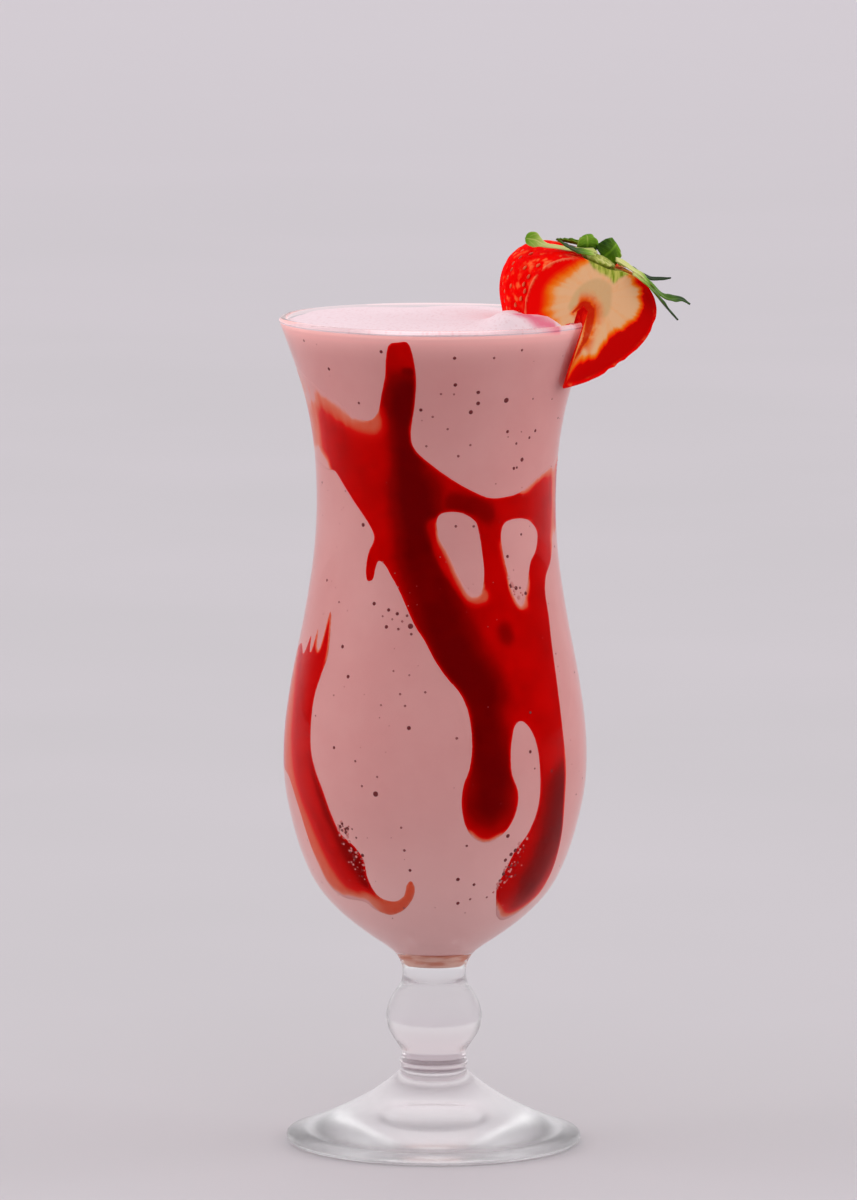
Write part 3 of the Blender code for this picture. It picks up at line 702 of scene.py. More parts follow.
def closeSheet(faces, near, far):
    # two layers of points and the strip round their edge
    count = len(near)
    shell = [tuple(face) for face in faces]
    shell += [tuple(count + i for i in reversed(face)) for face in faces]
    rim = {}
    for face in faces.tolist():
        for a, b in zip(face, face[1:] + face[:1]):
            if (b, a) in rim:
                del rim[(b, a)]
            else:
                rim[(a, b)] = True
    for a, b in rim:
        shell.append((b, a, count + a))
        shell.append((b, count + a, count + b))
    return np.concatenate([near, far]), shell


def strokes(rows, x, y, low, high):
    # how much each stroke covers the points
    for path, width, strength in rows:
        away = lineDistance(smoothTuples(unroll(path), 6), x, y)
        yield strength * (1 - ease(away / width, low, high))


def sauceDepth(x, y, away):
    # how deep the sauce looks: 0 at a thin edge, 1 where it lies thickest
    shape = sauceShape
    fade = np.full(len(x), shape["crisp"])
    for angle, height, reach, width in shape["soft"]:
        (u, v), = unroll([(angle, height)])
        near = 1 - ease(np.hypot(x - u, y - v) / reach, 0.45, 1.0)
        fade = np.maximum(fade, width * near)
    firm = 1 - ease(fade, 0.6, 2.0)
    depth = 0.62 * np.maximum(ease(away / fade, 0.0, 1.0), 0.45 * firm)
    dark = np.zeros(len(x))
    for cover in strokes(shape["thickStrokes"], x, y, 0.25, 1.3):
        dark = np.maximum(dark, cover)
    for cover in strokes(shape["thinStrokes"], x, y, 0.3, 1.1):
        depth = depth * (1 - cover)
    return depth + 0.38 * dark * ease(away, 0.0, 1.6), ease(fade, 1.5, 4.0)


def makeSauce(name, node, outline, holes, look):
    shape = sauceShape
    spacing = shape["grid"] * 1
    loops = [smoothLoop(unroll(points), spacing) for points in [outline] + holes]
    spots, faces = fineLayout(loops, spacing)
    angles = np.degrees(spots[:, 0] / shape["unrollRadius"])
    rise = ease(edgeDistance(loops, spots[:, 0], spots[:, 1]), 0.0, shape["edgeWidth"])
    proud = shape["edgeProud"] + (shape["proud"] - shape["edgeProud"]) * rise
    deep = shape["edgeThick"] + (shape["thick"] - shape["edgeThick"]) * rise
    near = roundWall(angles, spots[:, 1], -proud)
    far = roundWall(angles, spots[:, 1], deep)
    points, shell = closeSheet(faces, near, far)
    sauce = meshPiece(name, points, shell)
    tidyShell(sauce)
    places = vertexPlaces(sauce)
    x = np.arctan2(places[:, 0], -places[:, 1]) * shape["unrollRadius"]
    depth, streaky = sauceDepth(x, places[:, 2], edgeDistance(loops, x, places[:, 2]))
    storeValues(sauce, "depth", depth)
    storeValues(sauce, "streaky", streaky)
    finishPiece(sauce, look, "sauce", node)
    print(name, "made:", len(places), "points")


def sauceLook():
    look = Recipe("strawberry_sauce", Roughness=0.4, Specular_IOR_Level=0.0)
    place = look.place()
    runs = look.noise(look.stretch(place, (1.0, 1.0, 0.16)), 420.0, 3.0)
    clouds = look.noise(place, 95.0, 3.0, 0.6)
    grain = look.noise(place, 420.0, 2.0)
    depth = look.attribute("depth")
    streaky = look.attribute("streaky")
    level = depth - streaky * (runs - 0.42).most(0.0) * sauceShape["streaks"]
    level = level + (clouds - 0.5) * sauceShape["clouds"] * depth.ramp(0.3, 0.6)
    level = level + (grain - 0.5) * 0.06
    red = look.colours(level, sauceShape["tints"])
    look.put("Base Color", look.mix(level.ramp(0.0, 0.12), drinkColour(look), red))
    return look


# strawberry: the solid's own numbers, then its dimples, flesh and seeds

berryShape = {
    "profile": [(0.0, 0.0), (1.2, 3.4), (5.0, 8.4), (9.6, 12.8), (14.4, 16.4), (19.0, 19.0),
                (23.4, 20.0), (27.4, 19.6), (30.8, 17.6), (33.4, 14.2), (34.6, 10.4),
                (34.6, 6.6), (33.2, 3.0), (32.6, 0.0)],
    "sides": 300,
    "middle": 22.5,
    "face": (37.1, -17.2, 208.6),
    "turn": 28.0,
    "nod": 14.0,
    "lean": 18.5,
    "offcut": 6.0,
    "faceGrid": 0.5,
    "slitFoot": 168.0,
    "slitClearance": 0.3,
    "notchDepth": 5.0,
    "notch": [(-5.0, -24.0), (-0.2, 0.4), (-1.6, 1.9), (-3.2, 0.8), (-3.8, -2.4), (-9.0, -10.7),
              (-15.5, -19.0), (-19.0, -24.0)],
    "lumps": (0.18, 0.14),
    "seedCount": 330,
    "seedHeights": (0.8, 31.5),
    "dimpleDepth": 0.42,
    "dimpleWidth": 0.85,
    "puff": 0.12,           # how far the skin stands out between its dimples
    "pipSize": (0.42, 0.3, 0.68),
    "pipSunk": 0.12,        # how far a pip's middle stands over the bottom of its dimple
    "pipClear": (1.1, 2.6),             # no pips this near the middle of the glass wall
    "pipClearTop": 208,
}


def berryFrame(lean=True):
    # across, up and into the strawberry, from the middle of its cut face, in millimetres
    shape = berryShape
    turned = (Matrix.Translation(shape["face"]) @ Matrix.Rotation(radians(shape["turn"]), 4, "Z")
              @ Matrix.Rotation(radians(shape["nod"]), 4, "X"))
    if not lean:
        return turned
    return turned @ Matrix.Rotation(radians(shape["lean"]), 4, "Y")


def transformed(matrix, places):
    grid = np.array(matrix)
    return places @ grid[:3, :3].T + grid[:3, 3]


def placePiece(piece, matrix):
    # bring a piece modelled in the strawberry's frame into place, in its mesh
    moveVertices(piece, transformed(matrix, vertexPlaces(piece)))


def berrySeeds():
    # places and outward directions of the seeds, in a spiral over the skin
    shape = berryShape
    line = smoothLine(shape["profile"], 8)
    lengths = np.cumsum([0.0] + [(b - a).length * (a[1] + b[1]) for a, b in zip(line, line[1:])])
    lowest, highest = shape["seedHeights"]
    seeds = []
    for i in range(shape["seedCount"]):
        share = (i + 0.5) / shape["seedCount"]
        spot = np.interp(share, lengths / lengths[-1], range(len(line)))
        k = min(int(spot), len(line) - 2)
        point = line[k].lerp(line[k + 1], spot - k)
        run = (line[k + 1] - line[k]).normalized()
        if not lowest <= point[0] <= highest:
            continue
        angle = i * pi * (3 - sqrt(5)) + 0.08 * sin(i * 1.7)
        out = Vector((cos(angle) * run[0], sin(angle) * run[0], -run[1]))
        place = Vector((point[1] * cos(angle), point[1] * sin(angle) + shape["offcut"],
                        point[0] - shape["middle"]))
        seeds.append((place, out))
    return seeds


def dimpled(places, seeds):
    # lumpy skin: sunk round each seed, puffed between
    shape = berryShape
    centre = np.array([0.0, shape["offcut"], 0.0])
    spoke = places - centre
    turn = np.arctan2(spoke[:, 1], spoke[:, 0])
    wide, narrow = shape["lumps"]
    swell = wide * np.sin(3 * turn + 0.6) + narrow * np.sin(5 * turn + places[:, 2] / 6)
    spots = np.array([tuple(seed[0]) for seed in seeds])
    outs = np.array([tuple(seed[1]) for seed in seeds])
    push = np.zeros(len(places))
    normal = np.zeros_like(places)
    batch = 4000
    for start in range(0, len(places), batch):
        part = slice(start, start + batch)
        away = np.linalg.norm(places[part, None, :] - spots[None], axis=2)
        first = away.argmin(axis=1)
        near = away[np.arange(len(first)), first]
        push[part] = shape["puff"] * ease(near, 0.9, 1.9)
        push[part] -= shape["dimpleDepth"] * np.exp(-(near / shape["dimpleWidth"]) ** 2)
        normal[part] = outs[first]
    flat = spoke * np.array([1.0, 1.0, 0.0])
    size = np.linalg.norm(flat, axis=1)
    flat = flat / np.maximum(size, 0.01)[:, None]
    return places + normal * push[:, None] + flat * (swell * ease(size, 2.0, 9.0))[:, None]


def slitTools():
    # the glass wall's space in the strawberry, and the gape at its cut face
    shape = berryShape
    gap = shape["slitClearance"]
    outside = smoothTuples(glassShape["outside"][:6], 4)
    inside = smoothTuples(glassShape["inside"][-6:], 4)
    ring = [(h, r - gap) for h, r in inside if h > shape["slitFoot"]][:-1]
    ring += arcPoints(glassShape["height"] - glassShape["lipRadius"],
                      glassShape["rimRadius"] - glassShape["lipRadius"],
                      glassShape["lipRadius"] + gap, 165, 15, 10)
    ring += [(h, r + gap) for h, r in outside if h > shape["slitFoot"]]
    wall = turnProfile("slit_wall", ring + ring[:1], 144)
    count = len(shape["notch"])
    front = [(x, -2.0, z) for x, z in shape["notch"]]
    back = [(x, shape["notchDepth"], z) for x, z in shape["notch"]]
    faces = [tuple(range(count)), tuple(count + i for i in reversed(range(count)))]
    faces += [(i, count + i, count + (i + 1) % count, (i + 1) % count) for i in range(count)]
    notch = meshPiece("slit_notch", front + back, faces)
    placePiece(notch, berryFrame(lean=False))
    tidyShell(notch)
    return wall, notch


def cutAway(piece, tools):
    for tool in tools:
        activate(piece)
        cut = piece.modifiers.new("cut", "BOOLEAN")
        cut.operation = "DIFFERENCE"
        cut.solver = "EXACT"
        cut.object = tool
        bpy.ops.object.modifier_apply(modifier=cut.name)
        bpy.data.objects.remove(tool)


fleshShape = {              # on the cut face: across and up from its middle
    "cream": [(-10.6, 11.2), (-13.0, 9.0), (-14.2, 6.0), (-14.2, 3), (-13.6, 0.0), (-11.8, -3.5),
              (-9.6, -7.5), (-7.0, -12), (-5.4, -15.6), (-3.4, -16.8), (-2.3, -14.9),
              (0.5, -12.9), (4.0, -11.2), (5.6, -9.0), (9.6, -5.3), (13.9, -2.1), (15.1, 1.5),
              (14.2, 4.9), (12.6, 8.4), (10.5, 10.8), (6.5, 12.4), (2, 14.2), (-1.2, 15.4),
              (-4.2, 14.8), (-7.5, 13.3)],
    "core": [(-5.9, 1.0), (-5.7, 3.7), (-4.6, 6.2), (-2.4, 8.2), (0.8, 9.3), (3.4, 8.7),
             (5.6, 7.1), (6.2, 4.5), (6.3, 1.0), (5.0, -1.5), (0, -1)],
    "stalk": [(-3.0, 15.6), (-1.2, 12.8), (0.8, 11.2), (2.8, 10.0), (4.7, 8.7), (6.2, 7.6),
              (7.2, 8.8), (9.4, 9.4), (11.8, 9.2), (14.4, 8.0), (14.4, 11), (9, 14.6),
              (4, 16.5)],
    "wet": [(-4.2, 0.2), (-3.2, 1.4), (-1.4, 2.0), (0.4, 0.6), (0.6, -3), (-0.4, -6.9),
            (-1.6, -10), (-3.1, -13.5), (-4.1, -18.4)],
    "heart": (2.0, 4.0),    # the streaks run out from here
    "leftFade": 6.0,
    "rightFade": 2.4,
    "skinColours": (tone(236, 1, 1), tone(255, 4, 1)),
    "glintColour": tone(255, 118, 62),
    "innerLitShadedColours": (tone(255, 4, 2), tone(206, 2, 2)),
    "paleTints": [          # from the red rim to the cream
        (0.0, tone(255, 8, 2)), (0.1, tone(255, 40, 3)), (0.34, tone(255, 108, 8)),
        (0.6, tone(254, 142, 52)), (0.84, tone(248, 180, 122)), (1.0, tone(245, 190, 140)),
    ],
    "coreColour": tone(216, 176, 124),
    "stalkColours": (tone(126, 148, 34), tone(200, 200, 92)),
    "juiceTints": [
        (0.3, tone(226, 60, 14)), (0.55, tone(248, 112, 30)), (0.72, tone(255, 176, 110)),
    ],
    "wetColour": tone(206, 8, 6),
    "edgeHighlightColour": tone(255, 142, 96),
    "slitColours": (tone(206, 8, 5), tone(242, 46, 14)),
    "slitGlow": (0.16, (1.0, 0.01, 0.01, 1.0)),
    "seedColours": (tone(232, 100, 46), tone(214, 52, 18)),
}


def fleshValues(places):
    # how pale, greenish, wet and streaky the flesh is at points of the strawberry's frame; also
    # its painted shade and painted edge highlight
    shape = fleshShape
    flat = transformed(Matrix.Rotation(radians(berryShape["lean"]), 4, "Y"), places)
    x, z = flat[:, 0], flat[:, 2]
    onFace = np.abs(places[:, 1]) < 0.05
    inside = {}
    for name in ("cream", "core", "stalk"):
        loop = smoothLoop(shape[name], 0.8)
        away = lineDistance(loop + loop[:1], x, z)
        inside[name] = np.where(crossings([loop], x, z), away, -away)
    turn = (np.arctan2(z - shape["heart"][1], x - shape["heart"][0]) / (2 * pi)) % 1
    rays = {}
    for count, seed in ((64, 7), (150, 8)):
        knots = np.random.default_rng(seed).uniform(-1, 1, count)
        rays[count] = np.interp(turn * count, np.arange(count + 1), np.append(knots, knots[0]))
    right = ease(x + 0.5 * (6 - z), -4, 10)
    jag = rays[64] * (0.2 + 0.4 * right) + rays[150] * (0.1 + 0.25 * right)
    width = shape["leftFade"] + (shape["rightFade"] - shape["leftFade"]) * ease(x, -9, 2)
    line = smoothTuples(shape["wet"], 6)
    reach = 1.3 + 3.3 * ease(x + 0.3 * z, -3.2, -1.2)
    wet = 1 - ease((lineDistance(line, x, z) + 0.3 * rays[64]) / reach, 0.1, 1.0)
    rim = 1 - ease(skinDepth(places), 0.1, 0.45)
    return {
        "cream": ease((inside["cream"] + jag) / width, -0.12, 1.0) * onFace,
        "core": ease(inside["core"], -0.2, 0.9) * onFace,
        "stalk": ease(inside["stalk"] + 0.3 * rays[64], -0.5, 0.5) * (places[:, 1] < 8.0),
        # painted shade: the red flesh under the skin darker towards the right and lower down
        "dusk": ease(x - 0.8 * z, -6, 16),
        "wet": wet * onFace,
        "ray": 0.5 + 0.5 * rays[150],
        # painted highlight: a pale orange line along the cut skin's edge, on the left
        "edge": rim * onFace * (1 - ease(x, -9, -4)),
    }


def makeBerry():
    shape = berryShape
    profile = smoothTuples(shape["profile"], 8)
    profile[0] = (profile[0][0], 0.0)
    profile[-1] = (profile[-1][0], 0.0)
    sides = shape["sides"] // 1
    berry = turnProfile("strawberry_body", profile, sides)
    places = vertexPlaces(berry) + np.array([0.0, 0.0, -shape["middle"]])
    places[:, 1] += shape["offcut"]
    seeds = berrySeeds()
    moveVertices(berry, dimpled(places, seeds))
    activate(berry)
    bpy.ops.object.mode_set(mode="EDIT")
    bpy.ops.mesh.select_all(action="SELECT")
    bpy.ops.mesh.bisect(plane_co=(0, 0, 0), plane_no=(0, -1, 0), use_fill=True,
                        clear_outer=True, threshold=0.0000001)
    bpy.ops.object.mode_set(mode="OBJECT")
    placePiece(berry, berryFrame())
    cutAway(berry, slitTools())
    tidyShell(berry)
    berry = refineFace(berry)
    local = transformed(berryFrame().inverted(), vertexPlaces(berry))
    for name, values in fleshValues(local).items():
        storeValues(berry, name, values)
    storeValues(berry, "inner", ease(skinDepth(local), 0.5, 1.1))
    spots = np.array([tuple(seed[0]) for seed in seeds])
    near = [np.linalg.norm(spots - place, axis=1).min() for place in local]
    storeValues(berry, "swell", ease(near, 0.7, 1.7))
    activate(berry)
    bpy.ops.object.shade_smooth_by_angle(angle=radians(38))
    finishPiece(berry, berryLook(), "strawberry", "strawberry")
    berry.data.materials.append(slitLook().material)
    middles = np.array([tuple(face.center / mm) for face in berry.data.polygons])
    middles = transformed(berryFrame().inverted(), middles)
    cut = (middles[:, 1] > 0.04) & (skinDepth(middles) > 1.0)
    berry.data.polygons.foreach_set("material_index", cut.astype(np.int32))
    makeSeeds(seeds)
    print("strawberry made:", len(berry.data.vertices), "points")


def refineFace(berry):
    # split the big faces of the cut side, so that its colours can follow the flesh
    shape = berryShape
    activate(berry)
    local = transformed(berryFrame().inverted(), vertexPlaces(berry))
    flat = local[:, 1] < 0.02
    bpy.ops.object.mode_set(mode="EDIT")
    bpy.ops.mesh.select_all(action="DESELECT")
    bpy.ops.object.mode_set(mode="OBJECT")
    for face in berry.data.polygons:
        face.select = all(flat[i] for i in face.vertices)
    bpy.ops.object.mode_set(mode="EDIT")
    bpy.ops.mesh.delete(type="ONLY_FACE")
    bpy.ops.object.mode_set(mode="OBJECT")
    rims = openLoops(berry)
    back = berryFrame().inverted()
    points = vertexPlaces(berry)
    loops = [[tuple(transformed(back, points[i:i + 1])[0][[0, 2]]) for i in rim] for rim in rims]
    spots, faces = fineLayout(loops, shape["faceGrid"] * (1))
    lifted = np.stack([spots[:, 0], np.zeros(len(spots)), spots[:, 1]], axis=1)
    sheet = meshPiece("cut_face", transformed(berryFrame(), lifted), [tuple(f) for f in faces])
    activate(berry)
    sheet.select_set(True)
    bpy.ops.object.join()
    tidyShell(berry)
    return berry


def openLoops(piece):
    # the rings of points round the piece's openings
    uses = {}
    for face in piece.data.polygons:
        for key in face.edge_keys:
            uses[key] = uses.get(key, 0) + 1
    links = {}
    for (a, b), count in uses.items():
        if count == 1:
            links.setdefault(a, []).append(b)
            links.setdefault(b, []).append(a)
    loops = []
    while links:
        start = min(links)
        loop = [start]
        while True:
            ahead = [i for i in links.get(loop[-1], []) if i not in loop[-2:]]
            links.pop(loop[-1])
            ahead = [i for i in ahead if i in links or i == start]
            if not ahead or ahead[0] == start:
                break
            loop.append(ahead[0])
        loops.append(loop)
    return loops


def skinDepth(local):
    # how far points lie under the strawberry's skin
    shape = berryShape
    line = smoothTuples(shape["profile"], 6)
    radius = np.hypot(local[:, 0], local[:, 1] - shape["offcut"])
    return lineDistance(line, local[:, 2] + shape["middle"], radius)


def berryLook():
    shape = fleshShape
    look = Recipe("strawberry_flesh", Roughness=0.3, Specular_IOR_Level=0.0, Coat_Weight=0.04,
                  Coat_Roughness=0.12)
    place = look.place()
    cream = look.attribute("cream")
    blotch = look.noise(place, 160.0, 3.0)
    fine = look.noise(place, 900.0, 3.0)
    # painted highlights: orange glints on the swells between the dimples
    glint = look.noise(place, 330.0, 2.0, 0.6).ramp(0.52, 0.66) * look.attribute("swell")
    skin = look.mottle(blotch, 0.35, 0.75, shape["skinColours"])
    skin = look.mix(glint * blotch.ramp(0.4, 0.6) * 0.75, skin, shape["glintColour"])
    # painted shade: the red under the skin darker towards the lower right
    inside = look.mix(look.attribute("dusk"), *shape["innerLitShadedColours"])
    skin = look.mix(look.attribute("inner"), skin, inside)
    grain = (look.attribute("ray") - 0.5) * 0.22 + (fine - 0.5) * 0.16
    pale = look.colours(cream + grain * cream.ramp(0.05, 0.4), shape["paleTints"])
    pale = look.mix(look.attribute("core") * 0.7, pale, shape["coreColour"])
    strands = look.noise(look.stretch(place, (3.0, 1.0, 0.6)), 500.0, 3.0)
    stalk = look.mottle(strands, 0.35, 0.65, shape["stalkColours"])
    wet = look.attribute("wet")
    juice = look.colours(blotch + (fine - 0.5) * 0.3, shape["juiceTints"])
    pale = look.mix((wet * 1.2).least(1.0) * cream.ramp(0.0, 0.4), pale, juice)
    pale = look.mix(wet.ramp(0.86, 0.98) * 0.8, pale, shape["wetColour"])
    flesh = look.mix(cream.ramp(0.0, 0.06), skin, pale)
    # painted highlight along the cut skin's edge
    flesh = look.mix(look.attribute("edge") * 0.8, flesh, shape["edgeHighlightColour"])
    look.put("Base Color", look.mix(look.attribute("stalk"), flesh, stalk))
    look.put("Roughness", 0.22 + fine * 0.2 + cream * 0.12)
    look.bump(fine, 0.00012, 0.5)
    return look


def slitLook():
    # the wet walls of the slit, with a faint painted red glow lifting their shade
    strength, colour = fleshShape["slitGlow"]
    look = Recipe("slit_flesh", Roughness=0.3, Specular_IOR_Level=0.0, Coat_Weight=0.05,
                  Coat_Roughness=0.1, Emission_Strength=strength, Emission_Color=colour)
    fine = look.noise(look.place(), 700.0, 3.0)
    look.put("Base Color", look.mottle(fine, 0.35, 0.7, fleshShape["slitColours"]))
    look.bump(fine, 0.0002, 0.6)
    return look


def makeSeeds(seeds):
    # one pip in each dimple that stays in sight
    deselectAll()
    bpy.ops.mesh.primitive_uv_sphere_add(segments=6, ring_count=5, radius=0.001)
    pip = bpy.context.object
    pipPoints = vertexPlaces(pip) * np.array(berryShape["pipSize"])
    pipPoints[:, 0] *= 1 - 0.45 * np.clip(pipPoints[:, 2] / berryShape["pipSize"][2], 0, 1)
    pipFaces = [tuple(face.vertices) for face in pip.data.polygons]
    bpy.data.objects.remove(pip)
    frame = berryFrame()
    points, faces = [], []
    for place, out in seeds:
        if place.y < 0.5:
            continue
        spot = frame @ place
        wall = np.interp(spot.z, insideHeights, insideRadii)
        offset, reach = berryShape["pipClear"]
        nearWall = abs(hypot(spot.x, spot.y) - wall - offset) < reach
        if nearWall and spot.z < berryShape["pipClearTop"]:
            continue
        side = Vector((0, 0, 1)).cross(out).normalized()
        along = out.cross(side).normalized()
        sunk = place - out * (berryShape["dimpleDepth"] - berryShape["pipSunk"])
        turn = np.array([tuple(side), tuple(out), tuple(along)])
        local = pipPoints @ turn + np.array(tuple(sunk))
        faces += [tuple(len(points) + i for i in face) for face in pipFaces]
        points += transformed(frame, local).tolist()
    pips = meshPiece("strawberry_seeds", points, faces)
    look = Recipe("seed", Roughness=0.35)
    look.put("Base Color", look.mottle(look.noise(look.place(), 500.0), 0.4, 0.6,
                                       fleshShape["seedColours"]))
    finishPiece(pips, look, "strawberry")


# calyx and sepals, along the solid's own paths: across, up and towards the front

calyxShape = {
    "profile": [(10.6, 0.0), (11.2, 2.6), (12.2, 4.3), (12.5, 4.7), (12.9, 4.4), (13.3, 3.0),
                (13.6, 1.4), (13.7, 0.0)],
    "sides": 96,
    "widest": 4.7,
    "lobes": 10,
    "lobeCut": 0.05,
    "lobeRise": 0.16,
    "lobesFrom": 12.4,      # above this height the lobes rise and fall
    "colours": (tone(150, 162, 62), tone(208, 206, 126)),
}

leafShape = {
    "thick": 0.5,
    "lift": -0.3,
    "wave": (0.4, 2.2),
    "ripple": 0.09,
    "stepsAlong": 9,
    "stepsAcross": 10,
    "roundTip": 0.12,       # share of the length over which the tip closes
    "tints": [              # from dark to pale
        (0.0, tone(26, 44, 22)), (0.2, tone(38, 68, 14)), (0.4, tone(74, 112, 16)),
        (0.6, tone(112, 156, 34)), (0.8, tone(178, 192, 96)), (1.0, tone(214, 214, 140)),
    ],
}

# the shades hold both the leaves' own greens and painted shade, as on the curled lobes' dark roots
# and hollows
leafRows = {                # shades run from the root to the tip: 0 is dark green, 1 is pale
    "sepal_long": dict(path=[(-1.8, 14.3, -5.5), (-7.5, 13.1, -4.8), (-13.2, 12.3, -4.6),
                             (-16.8, 11.8, -5.0), (-19.4, 12.1, -5.4), (-21.8, 11.7, -6.0)],
                       width=(2.0, 1.7, 1.2, 1.6, 3.8, 3.0), fold=0.3,
                       sides=((0.0, 1.0, 0.2), (-0.3, 0.4, 1.0)),
                       shades=(0.85, 0.92, 0.97, 0.9, 0.7, 0.52)),
    "sepal_dark": dict(path=[(-3.6, 13.9, -2.9), (-9.2, 13.5, -1.8), (-13.2, 13.9, -1.2),
                             (-16.0, 14.8, -1.0)],
                       width=(2.0, 2.4, 1.8, 0.4), fold=0.3, shades=(0.8, 0.22, 0.1, 0.3)),
    "sepal_curl_left": dict(path=[(-3.2, 13.4, -7.2), (-3.6, 14.4, -6.9), (-4.1, 15.4, -6.7),
                                  (-4.5, 16.2, -6.8), (-4.7, 16.8, -7.1), (-4.9, 17.1, -7.5)],
                            width=(5.2, 5.9, 5.7, 4.8, 3.6, 2.0), fold=0.12, ripple=0.02,
                            sides=((0.95, 0.0, 0.32), (0.95, 0.0, 0.32)),
                            shades=(0.05, 0.3, 0.5, 0.6, 0.6, 0.5)),
    "sepal_curl_right": dict(path=[(1.8, 13.2, -7.0), (2.4, 14.2, -6.8), (3.0, 15.4, -6.6),
                                   (3.5, 16.4, -6.7), (3.9, 17.1, -7.0), (4.2, 17.4, -7.4)],
                             width=(7.2, 8.0, 7.7, 6.6, 4.8, 2.6), sideShade=0.2, fold=0.12,
                             ripple=0.02,
                             sides=((0.92, 0.0, -0.39), (0.92, 0.0, -0.39)),
                             shades=(0.3, 0.36, 0.34, 0.42, 0.5, 0.5)),
    "sepal_thin": dict(path=[(5.8, 13.2, -5.2), (9.4, 13.0, -6.6), (13.0, 12.6, -7.5),
                             (18.6, 11.8, -8.3), (24.3, 13.4, -9.0)],
                       width=(2.0, 1.8, 1.8, 1.6, 0.5), fold=0.3,
                       shades=(0.8, 0.45, 0.12, 0.05, 0.02)),
    "sepal_main": dict(path=[(3.2, 14.1, -2.9), (10.1, 12.9, -2.0), (14.2, 11.4, -1.8),
                             (20.6, 9.3, -2.0), (24.6, 10.1, -2.4), (28.3, 9.7, -2.6)],
                       width=(2.4, 3.0, 2.8, 2.8, 2.2, 0.5), fold=0.5,
                       shades=(1.0, 0.85, 0.5, 0.34, 0.22, 0.1)),
    "sepal_low": dict(path=[(6.6, 12.9, 1.3), (12.4, 11.2, 1.6), (18.8, 8.1, 1.2),
                            (24.8, 5.5, 0.4)],
                      width=(1.4, 2.2, 2.6, 0.5), fold=0.4, shades=(0.9, 0.45, 0.15, 0.04)),
    "sepal_back": dict(path=[(-0.5, 14.4, -9.4), (-2.2, 13.4, -15.0), (-3.6, 11.4, -19.8)],
                       width=(2.0, 4.0, 0.6), fold=0.4, lift=0.35, shades=(0.6, 0.35, 0.2)),
    "sepal_back_left": dict(path=[(-3.8, 14.0, -9.4), (-5.6, 13.3, -12.2), (-7.0, 12.4, -15.6)],
                            width=(2.0, 3.4, 0.6), fold=0.4, lift=0.35,
                            shades=(0.6, 0.35, 0.2)),
    "sepal_back_right": dict(path=[(2.8, 14.4, -9.6), (7.4, 13.1, -13.6), (11.2, 10.9, -17.0)],
                             width=(2.0, 3.8, 0.6), fold=0.4, lift=0.35,
                             shades=(0.6, 0.35, 0.2)),
}


def makeCalyx():
    shape = calyxShape
    calyx = turnProfile("calyx_body", smoothTuples(shape["profile"], 5), shape["sides"])
    places = vertexPlaces(calyx)
    turn = np.arctan2(places[:, 1], places[:, 0]) * shape["lobes"]
    reach = np.hypot(places[:, 0], places[:, 1]) / shape["widest"]
    onTop = places[:, 2] > shape["lobesFrom"]
    places[:, 2] += shape["lobeRise"] * reach * np.sin(turn) * onTop
    places[:, 0:2] *= (1 - shape["lobeCut"] * reach * (1 - np.cos(turn)))[:, None]
    places[:, 1] += berryShape["offcut"]
    moveVertices(calyx, transformed(berryFrame(), places))
    look = Recipe("calyx_flesh", Roughness=0.5, Specular_IOR_Level=0.1)
    fibre = look.noise(look.place(), 900.0, 3.0)
    look.put("Base Color", look.mottle(fibre, 0.35, 0.65, shape["colours"]))
    look.bump(fibre, 0.00015, 0.6)
    finishPiece(calyx, look, "calyx", "calyx")
    print("calyx made")


def leafFaces(count, row):
    # two layers of rows of points, and the strip round their edge
    total = count * row
    faces = []
    for i in range(0, total - row, row):
        for a in range(i, i + row - 1):
            b = a + row
            faces.append((a, a + 1, b + 1, b))
            faces.append((total + a, total + b, total + b + 1, total + a + 1))
        last = i + row - 1
        faces.append((i, i + row, total + i + row, total + i))
        faces.append((last, total + last, total + last + row, last + row))
    for a in range(row - 1):
        b = total - row + a
        faces.append((a, total + a, total + a + 1, a + 1))
        faces.append((b, b + 1, total + b + 1, total + b))
    return faces


